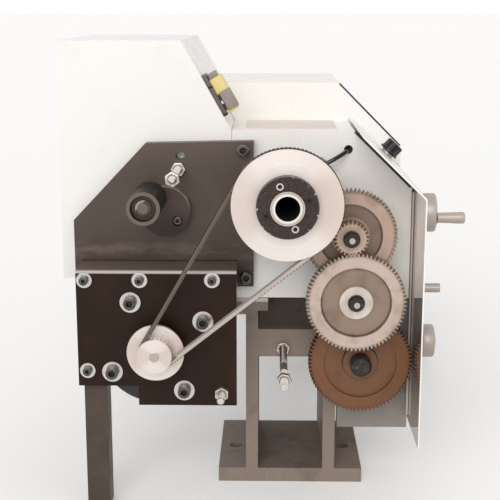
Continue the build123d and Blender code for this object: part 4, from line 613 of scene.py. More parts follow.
# %% Plastics and rubber
def moulded(dark, pale, rough):
    def recipe(here):
        rub = noise(here, 110.0, 4.0).ramp(0.55, 0.75)
        return {"Base Color": (rub * 0.6).tint(dark, pale),
                "Roughness": rough + rub * 0.18,
                "height": (noise(here, 1400.0, 2.0), 0.00003)}
    return recipe


MOULDED = {
    "black_plastic": ((12, 11, 11), (30, 28, 27), 0.12, {"Coat_Weight": 0.15, "Specular_ior_Level": 0.3}),
    "red_plastic": ((176, 20, 18), (196, 52, 44), 0.22, {"Coat_Weight": 0.3}),
    "yellow_plastic": ((238, 216, 142), (248, 234, 178), 0.34, {}),
    "grey_plastic": ((152, 140, 134), (172, 160, 154), 0.4, {}),
    "base_plastic": ((104, 94, 88), (126, 115, 109), 0.4, {}),
    "pale_mat_rubber": ((240, 229, 220), (248, 240, 233), 0.6, {}),
    "strip_paint": ((206, 194, 186), (224, 214, 207), 0.4, {}),
    "dark_rubber": ((20, 16, 14), (44, 37, 33), 0.45, {}),
    "cable_sheath": ((14, 13, 13), (30, 28, 27), 0.2, {"Coat_Weight": 0.3}),
    "mark_ink": ((28, 25, 23), (60, 55, 50), 0.5, {}),
}
for name, (dark, pale, rough, constants) in MOULDED.items():
    finish(name, moulded(rgb(*dark), rgb(*pale), rough), **constants)

# %% [markdown]
# ## Worn hardware
# Screws, studs and nuts get their finish from the wear attribute of their meshes: bare metal on crests and
# edges, dirt and oxide in roots and sockets, with a little noise so that no edge is worn evenly.

# %% Worn metal
def worn(deep, under, edge, rough, metal):
    """A recipe for metal that is deep in its hollows, under on its faces and edge where it is rubbed."""
    def recipe(here):
        wear = here.node("ShaderNodeAttribute", None, "Fac", attribute_name="wear")
        mottle = noise(here, 650.0, 3.0)
        rubbed = (wear + mottle * 0.5 - 0.25).ramp(0.25, 0.8)
        base = mottle.ramp(0.35, 0.65).tint(deep, under)
        return {"Base Color": rubbed.tint(base, edge),
                "Metallic": metal + rubbed * (0.95 - metal),
                "Roughness": rough - rubbed * 0.12 + mottle * 0.1,
                "height": (mottle, 0.00006)}
    return recipe


finish("screw_black", worn(rgb(12, 10, 9), rgb(36, 31, 28), rgb(140, 131, 124), 0.3, 0.3))
finish("stud_zinc", worn(rgb(138, 127, 119), rgb(172, 162, 154), rgb(226, 219, 212), 0.3, 0.6))
finish("worn_steel", worn(rgb(60, 53, 48), rgb(112, 104, 97), rgb(206, 199, 192), 0.32, 0.7))

# %% [markdown]
# The belt is rubber with fabric facing. Light and shade are painted into it: its lower run is painted pale,
# as lit, its upper run darker, as shaded, with a painted highlight on the outer edge of its back, and its
# teeth are
# darker: the distance out of each run, taken along the run's own normal, tells the finish which is which.

# %% Belt rubber
def dot_yz(here, angle):
    """Distance from the spindle's axis along a direction of the Y-Z plane, in metres."""
    across, height = from_axis(here, *SPINDLE)
    return across * math.cos(angle) + height * math.sin(angle)


SEATS = (40.107, 11.459)
lean = math.atan2(MOTOR[1], MOTOR[0])
wrap = math.acos((SEATS[0] - SEATS[1]) / math.hypot(*MOTOR))


def belt_cloth(here):
    lower, upper = (dot_yz(here, angle) - SEATS[0] / 1000 for angle in (lean - wrap, lean + wrap))
    out = lower.maths("MAXIMUM", lower, upper)
    on_run = out.between(-0.0016, 0.00128, 0.00006)
    # Painted highlight: the outer edge of the upper run's back is lighter.
    back = out.between(0.0008, 0.00128, 0.0001)
    is_lower = (lower - upper).ramp(-0.004, 0.004)
    weave = noise(here, 900.0, 2.0)
    # Painted light and shade: the upper run is darker, as shaded, and the lower run paler, as lit.
    painted_upper_run = (back * 0.6).tint(weave.tint(rgb(88, 76, 67), rgb(108, 95, 86)), rgb(146, 134, 125))
    lit_lower_run = weave.tint(rgb(178, 168, 160), rgb(202, 193, 185))
    toothed = weave.tint(rgb(48, 39, 33), rgb(74, 63, 56))
    return {"Base Color": on_run.tint(toothed, is_lower.tint(painted_upper_run, lit_lower_run)),
            "Roughness": 0.5 + weave * 0.2,
            "height": (weave, 0.00008)}


finish("belt_rubber_cloth", belt_cloth, Specular_ior_Level=0.3)

# %% [markdown]
# ## Dressing the solids
# A solid whose shape is right keeps its mesh and only gets a finish in its material slots.

# %% Dress the nodes
DRESS = {
    "cream_sheet_paint": ("headstock_cover", "rear_box"),
    "panel_paint": ("front_panel",),
    "bed_grey_paint": ("bed",),
    "grey_casting": ("headstock_casting", "leadscrew_brackets", "gear_quadrant", "saddle", "apron",
                     "compound_base", "tailstock_body"),
    "upper_plate_black": ("upper_plate", "support_leg"),
    "motor_plate_black": ("motor_plate",),
    "motor_black_paint": ("motor",),
    "spindle_pulley_aluminium": ("spindle_pulley",),
    "motor_pulley_aluminium": ("motor_pulley",),
    "idler_steel": ("idler_roller",),
    "idler_plate_steel": ("idler_disc",),
    "spindle_steel": ("spindle",),
    "ground_steel": ("leadscrew", "tailstock_quill", "chuck_body", "chuck_scroll", "chuck_jaw_1",
                     "chuck_jaw_2", "chuck_jaw_3", "cross_slide", "top_slide", "half_nut", "motor_shaft",
                     "gear_axles", "spindle_bearings"),
    "zinc_plating": ("plate_washers", "studs_and_nuts"),
    "bright_plating": ("tool_post_handle", "quill_lock"),
    "hub_screw_steel": ("hub_ring_screws",),
    "black_oxide": ("plate_cap_screws", "gear_axle_nuts", "leadscrew_nut", "tool_post"),
    "hub_ring_oxide": ("hub_ring",),
    "first_gear_steel": ("stud_gear",),
    "first_pinion_brass": ("stud_pinion",),
    "second_gear_steel": ("cluster_gear", "cluster_pinion"),
    "leadscrew_gear_steel": ("leadscrew_gear",),
    "spindle_gear_steel": ("spindle_gear",),
    "wheel_metal": ("apron_handwheel", "cross_handwheel", "top_handwheel", "tailstock_handwheel",
                    "half_nut_lever"),
    "black_plastic": ("speed_knob", "direction_switch"),
    "red_plastic": ("stop_button",),
    "yellow_plastic": ("interlock_switch",),
    "dark_rubber": ("drive_belt",),
    "cable_sheath": ("sensor_lead",),
}
for name, nodes in DRESS.items():
    for node in nodes:
        for slot in frame["nodes"][node].material_slots:
            slot.material = FINISHES[name]
bare = set(frame["nodes"]) - {node for nodes in DRESS.values() for node in nodes}
print("dressed", sum(len(nodes) for nodes in DRESS.values()), "nodes, bare:", sorted(bare))

# %% [markdown]
# ## Ways to make a mesh
# Most small hardware is turned: a list of rings about one axis gives a screw head, a nut or a knob. Each
# ring also has a wear number, kept as an attribute of the mesh, so that a finish can show bare metal on the
# edges.

# %% Turned shapes
def swell(kind, turn, index):
    """How far a ring stands out at one angle, as a share of its radius."""
    if kind == "hex":
        return 1 / math.cos(turn % (math.pi / 3) - math.pi / 6)
    if kind == "knurl":
        return 1 - 0.05 * (index % 2)
    if kind == "flute":
        return 1 - 0.07 * (index % 4 == 0)
    return 1.0


def spun(name, rings, segments=48):
    """A mesh turned about X from rings of (x, radius, wear) and, where they aren't round, their kind.

    A radius of 0 closes an end.
    """
    points, worn, faces, last = [], [], [], None
    for ring in rings:
        x, radius, wear, kind = (*ring, "round")[:4]
        start, count = len(points), segments if radius else 1
        for index in range(count):
            turn = 2 * math.pi * index / segments
            out = radius * swell(kind, turn, index)
            points.append((x, out * math.cos(turn), out * math.sin(turn)))
        worn += [wear] * count
        for index in range(segments if last else 0):
            after = (index + 1) % segments
            corners = [last[0] + index % last[1], last[0] + after % last[1]]
            corners += [start + after % count, start + index % count]
            faces.append(list(dict.fromkeys(corners)))
        last = (start, count)
    mesh = bpy.data.meshes.new(name)
    mesh.from_pydata(points, [], [face for face in faces if len(face) > 2])
    mesh.attributes.new("wear", "FLOAT", "POINT").data.foreach_set("value", worn)
    return mesh


def standing(place, facing=(-1.0, 0.0, 0.0)):
    """The matrix that sets a shape in millimetres on a place and turns its -X side to a direction."""
    turn = Vector((-1.0, 0.0, 0.0)).rotation_difference(Vector(facing)).to_matrix().to_4x4()
    return Matrix.Translation(spot(*place)) @ turn @ Matrix.Scale(0.001, 4)


def shade(mesh, angle=32.0):
    """Smooth shading with sharp edges where faces meet at more than this angle."""
    mesh.polygons.foreach_set("use_smooth", [True] * len(mesh.polygons))
    mesh.set_sharp_from_angle(angle=math.radians(angle))


def piece(name, mesh, look, body, replaced=()):
    """Adds a mesh in the frame as a piece of the lathe that rides on a body."""
    thing = added(name, mesh)
    if not mesh.materials:
        mesh.materials.append(FINISHES[look])
    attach(thing, body)
    if replaced:
        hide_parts(*replaced)
    print("piece", name, "on", body, "with", len(mesh.polygons), "faces")
    return thing


def joined(name, meshes):
    """Several meshes as one, with their attributes and places kept."""
    whole = bmesh.new()
    for mesh in meshes:
        whole.from_mesh(mesh)
    mesh = bpy.data.meshes.new(name)
    whole.to_mesh(mesh)
    whole.free()
    return mesh


def assembled(name, parts, body, replaced=(), angle=32.0):
    """One piece from pairs of a mesh and the finish that it has."""
    looks = list(dict.fromkeys(look for _, look in parts))
    for mesh, look in parts:
        mesh.polygons.foreach_set("material_index", [looks.index(look)] * len(mesh.polygons))
    whole = joined(name, [mesh for mesh, _ in parts])
    for look in looks:
        whole.materials.append(FINISHES[look])
    shade(whole, angle)
    return piece(name, whole, looks[0], body, replaced)


# %% [markdown]
# What repeats is made with Geometry Nodes. A tree is built once in Python, run on a holder object, and its
# result is kept as a plain mesh, because the exported model has no instances.

# %% Running a node tree
KINDS = {float: "NodeSocketFloat", int: "NodeSocketInt", tuple: "NodeSocketVector"}


def grown(name, start, look, build, **sizes):
    """Runs a Geometry Nodes tree on a mesh or curve and gives back the plain mesh that it makes."""
    tree = bpy.data.node_groups.new(name, "GeometryNodeTree")
    tree.interface.new_socket("Geometry", in_out="INPUT", socket_type="NodeSocketGeometry")
    tree.interface.new_socket("Geometry", in_out="OUTPUT", socket_type="NodeSocketGeometry")
    made = {key: tree.interface.new_socket(key, in_out="INPUT", socket_type=KINDS[type(value)])
            for key, value in sizes.items()}
    inlet, outlet = tree.nodes.new("NodeGroupInput"), tree.nodes.new("NodeGroupOutput")
    given = {key: Value(tree, inlet.outputs[key]) for key in sizes}
    result = build(Value(tree, inlet.outputs["Geometry"]), **given)
    result = result.node("GeometryNodeRealizeInstances", {0: result})
    result = result.node("GeometryNodeSetMaterial", {"Geometry": result, "Material": FINISHES[look]})
    tree.links.new(result.socket, outlet.inputs[0])
    holder = added(name + "_holder", start)
    nodes = holder.modifiers.new("nodes", "NODES")
    nodes.node_group = tree
    for key, value in sizes.items():
        nodes[made[key].identifier] = value
    bpy.context.view_layer.update()
    ready = holder.evaluated_get(bpy.context.evaluated_depsgraph_get())
    mesh = bpy.data.meshes.new_from_object(ready)
    holder.modifiers.remove(nodes)
    bpy.data.objects.remove(holder)
    mesh.name = name
    return mesh


def block(start, *size):
    """A block of this size about the origin."""
    sides = start.node("ShaderNodeCombineXYZ", dict(enumerate(size)))
    return start.node("GeometryNodeMeshCube", {"Size": sides})


def swept(start, line, width, height, caps=True):
    """A bar of this width and height along a line."""
    outline = start.node("GeometryNodeCurvePrimitiveQuadrilateral", {"Width": width, "Height": height})
    return start.node("GeometryNodeCurveToMesh", {"Curve": line, "Profile Curve": outline, "Fill Caps": caps})


def planted(name, shape, places, look, turn=0.7):
    """One shape, made in millimetres, set on every place, each turned a little further about X."""
    pattern = added(name + "_pattern", shape)
    points = bpy.data.meshes.new(name + "_places")
    points.from_pydata([spot(*place) for place in places], [], [])

    def build(start, turn, scale):
        count = start.node("GeometryNodeInputIndex")
        turned_by = start.node("ShaderNodeCombineXYZ", {0: count * turn})
        shape_here = start.node("GeometryNodeObjectInfo", {"Object": pattern}, "Geometry")
        return start.node("GeometryNodeInstanceOnPoints",
                          {"Points": start, "Instance": shape_here, "Rotation": turned_by, "Scale": scale})

    mesh = grown(name, points, look, build, turn=turn, scale=(0.001, 0.001, 0.001))
    bpy.data.objects.remove(pattern)
    shade(mesh)
    return mesh


# %% [markdown]
# ## Sensor and its lead
# A speed sensor behind the pulley has a thin black lead that goes into the headstock. The lead is a cord: a
# NURBS curve whose control points are the route of the solid that it stands for, with a round bevel.

# %% Sensor lead
LEAD_ROUTE = ((8.5, -48.5, 32.2), (-13.0, -48.5, 32.2), (-13.0, -29.1, 22.11))
LEAD_DIAMETER = 0.0034


def path_of(name, lines, closed=False, kind="POLY"):
    """A curve with one line through each list of places in millimetres."""
    curve = bpy.data.curves.new(name, "CURVE")
    curve.dimensions = "3D"
    for places in lines:
        line = curve.splines.new(kind)
        line.points.add(len(places) - 1)
        for point, place in zip(line.points, places):
            point.co = (*spot(*place), 1.0)
        line.use_cyclic_u = closed
    return curve


def lead_curve(name, bevel):
    """The lead's route as a smooth curve; a bevel of 0 leaves a bare line to measure."""
    curve = path_of(name, [LEAD_ROUTE], kind="NURBS")
    curve.bevel_depth, curve.bevel_resolution = bevel, 6
    curve.use_fill_caps, curve.resolution_u = True, 24
    curve.splines[0].order_u, curve.splines[0].use_endpoint_u = 3, True
    return curve


def curve_length(curve):
    """Length of a curve with no bevel, in metres."""
    holder = added("measure", curve)
    bpy.context.view_layer.update()
    line = bpy.data.meshes.new_from_object(holder.evaluated_get(bpy.context.evaluated_depsgraph_get()))
    bpy.data.objects.remove(holder)
    ends = [(line.vertices[edge.vertices[0]].co, line.vertices[edge.vertices[1]].co) for edge in line.edges]
    return sum((a - b).length for a, b in ends)


lead_length = round(curve_length(lead_curve("lead_line", 0.0)), 4)
lead = added("sensor_cable", lead_curve("sensor_cable", LEAD_DIAMETER / 2))
lead.data.materials.append(FINISHES["cable_sheath"])
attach(lead, "frame")
spot(*LEAD_ROUTE[0])
print("lead", lead_length, "m")

SENSOR = [(-46.0, 0, 0), (-46.0, 3.1, 0.4), (-45.6, 3.5, 0.9)]
for step in range(44):
    SENSOR.append((-45.0 + step * 0.75, 3.5 - 0.28 * (step % 2), 0.5 * (1 - step % 2)))
SENSOR += [(-5.0, 3.2, 0), (-5.0, 5.5, 0.6), (-4.5, 6.0, 0.9),
           (0.0, 6.0, 0.2), (0.0, 0, 0)]
SENSOR_PLACE = (0.0, -26.0, 20.5)
sensor = planted("speed_sensor", spun("sensor_shape", SENSOR, 24), [SENSOR_PLACE], "worn_steel")
piece("speed_sensor", sensor, "worn_steel", "frame")
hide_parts("sensor_lead")

# %% [markdown]
# ## Socket screws
# The plates are held by black socket screws. A head has a knurled side, a chamfer that is bright, partly
# as worn metal and partly as a painted highlight, and a six-sided socket. One head is turned, and a node tree
# plants it on every place of its size.

# %% Socket screws
def socket_head(name, height, radius, socket, depth):
    """A socket screw's head in millimetres, with its seat at X = 0 and its face towards -X."""
    face = -height
    # The chamfer rings carry high wear numbers, so they show bright: partly wear, partly a painted highlight.
    return spun(name, [
        (face + depth, 0, 0.0), (face + depth, socket, 0.0, "hex"),
        (face + 0.25, socket, 0.1, "hex"), (face, socket * 1.12, 0.8, "hex"),
        (face, radius * 0.8, 0.12), (face + 0.12, radius * 0.86, 0.7),
        (face + radius * 0.13, radius * 0.97, 0.75), (face + radius * 0.2, radius, 0.1, "knurl"),
        (-radius * 0.1, radius, 0.05, "knurl"), (0.0, radius * 0.93, 0.0), (0.0, 0, 0.0)])


PLATE_SEAT, UPPER_SEAT, PIVOT_SEAT = -46.2, -10.0, -15.3
BOLT_CIRCLE = 40.75
BOLT_ANGLES = [math.radians(angle) for angle in (60, 150, 240, 330)]
MOTOR_BOLTS = [(PLATE_SEAT, MOTOR[0] + BOLT_CIRCLE * math.cos(a), MOTOR[1] + BOLT_CIRCLE * math.sin(a))
               for a in BOLT_ANGLES]
POST_PLACES = ((154.4, -62.6), (112.0, -62.4), (56.6, -62.2), (153.6, -134.7))
POSTS = [(PLATE_SEAT, *place) for place in POST_PLACES]
UPPER_SCREWS = [(UPPER_SEAT, 33.7, 32.8), (UPPER_SEAT, 31.5, -68.2)]
large_head = socket_head("large_head", 6.0, 5.0, 2.5, 3.4)
small_head = socket_head("small_head", 4.0, 3.5, 1.5, 2.2)
pivot_head = socket_head("pivot_head", 5.0, 3.8, 1.6, 2.6)
heads = [planted("motor_bolts", large_head, MOTOR_BOLTS + UPPER_SCREWS, "screw_black"),
         planted("post_screws", small_head, POSTS, "screw_black"),
         planted("pivot_screw", pivot_head, [(PIVOT_SEAT, 84.4, -21.3)], "screw_black")]
assembled("socket_screws", [(head, "screw_black") for head in heads],
          "frame", ("plate_cap_screws",))

# %% [markdown]
# ## Studs and nuts
# Two long studs stand out to carry a cover, and a short one sets the motor plate. Their threads are rings
# of crest and root, closer than the eye can follow as a helix, and their nuts are six-sided with a turned
# chamfer at each end.

# %% Studs and nuts
def stud_shape(name, length, radius, plain=()):
    """A threaded rod towards -X with a rounded tip; plain is a stretch, from the tip, with no thread."""
    rings = [(-length, 0, 0.6), (-length, radius * 0.62, 0.7),
             (-length + 0.9, radius * 0.93, 0.8)]
    crest, x = True, -length + 1.4
    while x < 0:
        bare = plain and plain[0] <= x + length <= plain[1]
        share = 0.96 if bare else 1.0 if crest else 0.84
        rings.append((x, radius * share, 0.1 if bare else 0.9 * crest))
        crest, x = not crest, x + 0.5
    return spun(name, rings + [(0.0, radius * 0.9, 0.2), (0.0, 0, 0.2)], 18)


def nut_shape(name, width, flats, bore):
    """A six-sided nut towards -X with turned corners."""
    return spun(name, [
        (-width + 0.5, bore, 0.0), (-width, bore * 1.12, 0.3),
        (-width, flats * 0.44, 0.5), (-width + 0.1, flats * 0.475, 0.7, "hex"),
        (-width + 0.45, flats * 0.5, 0.8, "hex"), (-0.4, flats * 0.5, 0.5, "hex"),
        (0.0, flats * 0.47, 0.3, "hex"), (0.0, bore, 0.0), (-width + 0.5, bore, 0.0)], 48)


PLATE_STUD, WEB_STUD, JACK_STUD = (84.0, 18.2), (1.5, -132.0), (49.7, -152.6)
STUD_RADIUS = 3.0
NUT_PLACES = [(-10.0, *PLATE_STUD), (-61.5, *PLATE_STUD), (8.0, *WEB_STUD), (-71.5, *WEB_STUD),
              (-45.0, *JACK_STUD)]
STUDS = {"plate_stud": (68.0, (), (-1.0, *PLATE_STUD)),
         "web_stud": (108.0, (36.0, 52.0), (16.0, *WEB_STUD)),
         "jack_stud": (24.0, (), (-41.0, *JACK_STUD))}
fittings = [planted(name, stud_shape(name + "_shape", length, STUD_RADIUS, plain), [foot], "stud_zinc")
            for name, (length, plain, foot) in STUDS.items()]
fittings.append(planted("stud_nuts", nut_shape("nut", 5.0, 10.0, 2.95), NUT_PLACES, "stud_zinc", 0.4))
assembled("threaded_studs", [(fitting, "stud_zinc") for fitting in fittings],
          "frame", ("studs_and_nuts",))

# %% [markdown]
# ## Toothed belt
# The belt is one loop round two pulleys: two arcs and two straight runs. A node tree sweeps the band along
# that loop and plants a tooth every pitch, standing across the run, so teeth and band can never part.

# %% Belt
BELT_MIDDLE, BELT_BACK, BELT_PITCH, BELT_WIDTH = -66.2, 1.3, 3.0, 8.0
CENTERS = (SPINDLE, MOTOR)


def belt_point(pulley, angle, out):
    """A point of the belt on one pulley, out millimetres outside the pulley's own seat."""
    radius = SEATS[pulley] + out
    y, z = CENTERS[pulley]
    return BELT_MIDDLE, y + radius * math.cos(angle), z + radius * math.sin(angle)


def belt_loop(out):
    """The loop from the lower run round the motor's pulley, up and over the spindle's pulley."""
    arcs = ((1, lean - wrap, lean + wrap, 24), (0, lean + wrap, lean - wrap + 2 * math.pi, 72))
    return [belt_point(pulley, first + (last - first) * step / count, out)
            for pulley, first, last, count in arcs for step in range(count + 1)]


def teeth_on(start, pitch, width, thick, height, out):
    """A tooth every pitch along a line, with its height across the line and away from it."""
    points = start.node("GeometryNodeCurveToPoints", {"Curve": start, "Length": pitch}, mode="LENGTH")
    across = start.node("FunctionNodeInputVector", vector=(1.0, 0.0, 0.0))
    tangent = Value(start.tree, points.socket.node.outputs["Tangent"])
    facing = start.node("FunctionNodeAxesToRotation", {"Primary Axis": tangent, "Secondary Axis": across},
                        primary_axis="Z", secondary_axis="X")
    shift = start.node("ShaderNodeCombineXYZ", {1: out})
    tooth = block(start, width, height, thick)
    tooth = start.node("GeometryNodeTransform", {"Geometry": tooth, "Translation": shift})
    return start.node("GeometryNodeInstanceOnPoints",
                      {"Points": points, "Instance": tooth, "Rotation": facing})


def band_tree(start, width, back, pitch, thick, height, out):
    band = swept(start, start, width, back, False)
    teeth = teeth_on(start, pitch, width, thick, height, out)
    return start.node("GeometryNodeJoinGeometry", {"Geometry": [band, teeth]})


def run_tree(start, width, thick):
    return swept(start, start, width, thick)


loop = path_of("belt_loop", [belt_loop(BELT_BACK / 2)], True)
band = grown("belt_band", loop, "belt_rubber_cloth", band_tree, width=BELT_WIDTH / 1000,
             back=BELT_BACK / 1000, pitch=BELT_PITCH / 1000, thick=0.0016, height=0.0005,
             out=(BELT_BACK / 2 + 0.22) / 1000)
FACING, RUN_TRIM = 1.4, 13.0
runs = []
for angle, order in ((lean - wrap, (0, 1)), (lean + wrap, (1, 0))):
    first, last = (Vector(belt_point(pulley, angle, -FACING / 2)) for pulley in order)
    trim = (last - first).normalized() * RUN_TRIM
    runs.append([tuple(first + trim), tuple(last - trim)])
inner = grown("belt_inner", path_of("belt_runs", runs), "belt_rubber_cloth", run_tree,
              width=BELT_WIDTH / 1000, thick=FACING / 1000)
assembled("toothed_belt", [(band, "belt_rubber_cloth"), (inner, "belt_rubber_cloth")],
          "frame", ("drive_belt",), 25.0)

# %% [markdown]
# ## Leadscrew thread
# The leadscrew runs the length of the bed. Its thread is a real helix here: a Spiral curve with a square
# profile swept along it, round a core, so it catches the light as a screw does.

# %% Leadscrew
def screw_tree(start, length, core, middle, depth, crest, turns):
    axis_turn = start.node("FunctionNodeInputVector", vector=(0.0, math.pi / 2, 0.0))
    rod = start.node("GeometryNodeMeshCylinder", {"Vertices": 24, "Radius": core, "Depth": length})
    lift = start.node("ShaderNodeCombineXYZ", {2: length * 0.5})
    rod = start.node("GeometryNodeTransform", {"Geometry": rod, "Translation": lift})
    helix = start.node("GeometryNodeCurveSpiral",
                       {"Resolution": 16, "Rotations": turns, "Start Radius": middle, "End Radius": middle,
                        "Height": length})
    helix = start.node("GeometryNodeSetCurveNormal", {"Curve": helix}, mode="Z_UP")
    thread = swept(start, helix, depth, crest)
    both = start.node("GeometryNodeJoinGeometry", {"Geometry": [rod, thread]})
    return start.node("GeometryNodeTransform", {"Geometry": both, "Rotation": axis_turn})


empty = bpy.data.meshes.new("nothing")
thread = grown("leadscrew_thread", empty, "ground_steel", screw_tree, length=0.628, core=0.0071,
               middle=0.00745, depth=0.0011, crest=0.0013, turns=209.0)
thread.transform(Matrix.Translation(spot(6.0, *LEADSCREW)))
tail = spun("leadscrew_tail", [(-32.5, 0, 0), (-32.5, 4.6, 0), (-32.0, 5.0, 0),
                               (6.5, 5.0, 0), (6.5, 0, 0)], 32)
tail.transform(standing((0.0, *LEADSCREW)))
assembled("leadscrew_screw", [(thread, "ground_steel"), (tail, "ground_steel")],
          "leadscrew_unit", ("leadscrew",))

# %% [markdown]
# ## Slabs
# Small moulded and pressed pieces start as a box whose edges are rounded, in the object's own place.
# Slabs with different finishes become one piece with several material slots.

# %% Rounded slabs
def slab(low, high, bevel, place=spot):
    """A rounded box between two corners in millimetres; place turns a corner into metres in the frame."""
    shape = bmesh.new()
    bmesh.ops.create_cube(shape, size=1.0)
    for vertex in shape.verts:
        vertex.co = Vector([a + (b - a) * (c + 0.5) for a, b, c in zip(low, high, vertex.co)])
    bmesh.ops.bevel(shape, geom=shape.edges[:], offset=bevel, segments=3, profile=0.6, affect="EDGES")
    for vertex in shape.verts:
        vertex.co = place(*vertex.co)
    bmesh.ops.recalc_face_normals(shape, faces=shape.faces)
    mesh = bpy.data.meshes.new("slab")
    shape.to_mesh(mesh)
    shape.free()
    return mesh


mat = slab((7.0, -40.0, 46.9), (77.0, 32.3, 47.7), 0.35)
assembled("cover_mat", [(mat, "pale_mat_rubber")], "frame")

# %% [markdown]
# ## Cover switch
# A small switch sits on the slanted face of the rear box and feels whether the end cover is shut. It is
# built in the slant's own directions, along the bed, up the slope and out of it: a dark base strip, a
# yellow body, a grey face.

# %% Cover switch
SLOPE = Vector((0.0, 39.0, 69.3)).normalized()
PROUD = Vector((0.0, -69.3, 39.0)).normalized()


def on_slope(x, up, out):
    at = Vector((x, 42.9, 46.7)) + SLOPE * up + PROUD * out
    return spot(*at)


SWITCH = (
    ("base_plastic", (6.0, 12.0, 0.0), (30.0, 48.0, 3.2), 0.5),
    ("dark_rubber", (5.9, 11.8, 0.1), (12.0, 14.0, 3.4), 0.3),
    ("dark_rubber", (5.9, 36.0, 0.1), (12.0, 38.0, 3.4), 0.3),
    ("yellow_plastic", (8.0, 12.5, 3.2), (29.0, 42.0, 13.5), 1.2),
    ("grey_plastic", (6.2, 14.5, 5.2), (9.0, 30.0, 15.0), 0.8),
    ("dark_rubber", (6.4, 16.0, 3.3), (8.6, 29.0, 5.3), 0.3),
    ("pale_mat_rubber", (6.1, 21.0, 3.5), (8.2, 23.6, 4.9), 0.3),
    ("grey_plastic", (9.5, 42.0, 4.5), (27.0, 46.5, 11.0), 0.8),
)
assembled("cover_switch", [(slab(low, high, bevel, on_slope), look) for look, low, high, bevel in SWITCH],
          "frame", ("interlock_switch",))

# %% [markdown]
# ## Edge strips
# Thin black strips run along the slanted edges of the covers, a dark thing where only the shadow line under
# each edge falls: painted shade. A pale strip stands in the corner between the headstock and the panel. A
# strip along a slant is a slab in directions of its own, as the switch was.

# %% Painted shadow strips and corner strip
def along(start, end):
    """Places a strip between two Y-Z points: along the bed, along the strip, out of its face."""
    a, b = Vector((0.0, *start)), Vector((0.0, *end))
    run = (b - a).normalized()
    out = Vector((-1.0, 0.0, 0.0)).cross(run)

    def place(x, far, proud):
        return spot(*(Vector((x, 0.0, 0.0)) + a + run * far + out * proud))

    return place, (b - a).length


low_place, low_run = along((-52.8, 47.0), (-99.0, 2.0))
high_place, high_run = along((-45.0, 79.0), (-99.0, 25.0))
# Painted shade: black strips along the slanted edges, where their shadow line falls.
assembled("edge_seals", [
    (slab((-0.5, 1.0, -1.2), (0.6, low_run - 1.0, 0.6), 0.2, low_place), "dark_rubber"),
    (slab((80.6, 1.0, -0.9), (81.4, high_run - 1.0, 0.5), 0.2, high_place), "dark_rubber"),
], "frame")
strip = slab((-3.0, -100.9, -186.0), (-0.4, -99.4, -1.0), 0.3)
assembled("corner_strip", [(strip, "strip_paint")], "frame")

# %% [markdown]
# ## Speed knob
# The knob is turned about the slanted panel's normal: a flared skirt, a fluted barrel and a shallow dished
# top, on a bright threaded bush.

# %% Speed knob
KNOB_AXIS = (0.0, -0.697740, 0.716351)
knob_place = standing((50.0, -83.0366, 22.2950), KNOB_AXIS)
knob = spun("knob_shape", [
    (-11.7, 0, 0), (-11.7, 5.4, 0), (-12.0, 5.9, 0.3), (-12.0, 6.6, 0.3),
    (-11.5, 7.3, 0.2), (-11.0, 7.5, 0.1, "flute"), (-5.4, 7.5, 0.1, "flute"),
    (-5.0, 7.6, 0.1), (-4.4, 8.2, 0.1), (-3.2, 8.5, 0.2),
    (-2.6, 8.4, 0.1), (-2.5, 8.0, 0), (-2.5, 0, 0)], 96)
knob.transform(knob_place)
shade(knob, 28.0)
piece("fluted_knob", knob, "black_plastic", "knob", ("speed_knob",))
bush_rings = [(-2.35, 2.9, 0.5), (-2.35, 5.3, 0.9), (-2.0, 5.75, 0.9)]
bush_rings += [(-1.9 + 0.3 * step, 5.75 - 0.3 * (step % 2), 0.8) for step in range(6)]
bush = spun("bush_shape", bush_rings + [(0.05, 6.6, 0.9, "hex"), (0.05, 2.9, 0.5)], 48)
bush.transform(knob_place)
shade(bush)
piece("knob_bush", bush, "worn_steel", "frame")

# %% [markdown]
# ## Handwheels
# The handwheels at the operator's side show their profile in the photograph: a plain wheel with a rounded
# rim and a crank that swells towards its end, and below it a wheel whose face is a low cone. Both are
# turned shapes.

# %% Handwheels
FRONT = (0.0, -1.0, 0.0)


def turned_front(name, x, y, z, profile):
    """A shape turned about Y, from (depth, radius) behind the point x, y, z."""
    mesh = spun(name, [(depth, radius, 0.3) for depth, radius in profile], 64)
    mesh.transform(standing((x, y, z), FRONT))
    return mesh


CROSS_X, CROSS_Z = 320.0, -76.0
cross_disc = turned_front("cross_disc", CROSS_X, -166.5, CROSS_Z, [
    (0.6, 0), (0.6, 3.0), (0.0, 3.5), (0.0, 17.6), (0.4, 19.5), (1.3, 20.6), (2.8, 21.0), (11.2, 21.0),
    (12.7, 20.6), (13.6, 19.5), (14.0, 17.6), (14.0, 10.0), (28.2, 10.0), (28.2, 5.0), (218.5, 5.0),
    (218.5, 0)])
crank = turned_front("cross_crank", 305.33, -196.0, -79.12, [
    (0.0, 0), (0.0, 4.8), (0.4, 5.7), (1.2, 6.1), (2.6, 6.3), (6.0, 6.3), (22.0, 5.6), (28.6, 5.5),
    (28.9, 6.0), (29.5, 6.2), (29.5, 0)])
assembled("cross_wheel_turned", [(cross_disc, "wheel_metal"), (crank, "wheel_metal")],
          "cross_wheel", ("cross_handwheel",))
apron_disc = turned_front("apron_disc", 298.0, -168.5, -214.0, [
    (0.0, 0), (0.0, 3.0), (0.3, 4.4), (2.6, 16.2), (3.3, 17.4), (4.4, 18.0), (14.4, 18.0), (15.5, 17.5),
    (16.0, 16.4), (16.0, 9.0), (56.2, 9.0), (56.2, 5.0), (84.5, 5.0), (84.5, 0)])
assembled("apron_wheel_turned", [(apron_disc, "wheel_metal")],
          "apron_wheel", ("apron_handwheel",))

# %% [markdown]
# ## Graduations and motor ribs
# A ring of short marks repeats round a collar, and so do the cooling ribs round the motor. One tree serves
# both: a circle of points with a bar on each, turned to face outwards.

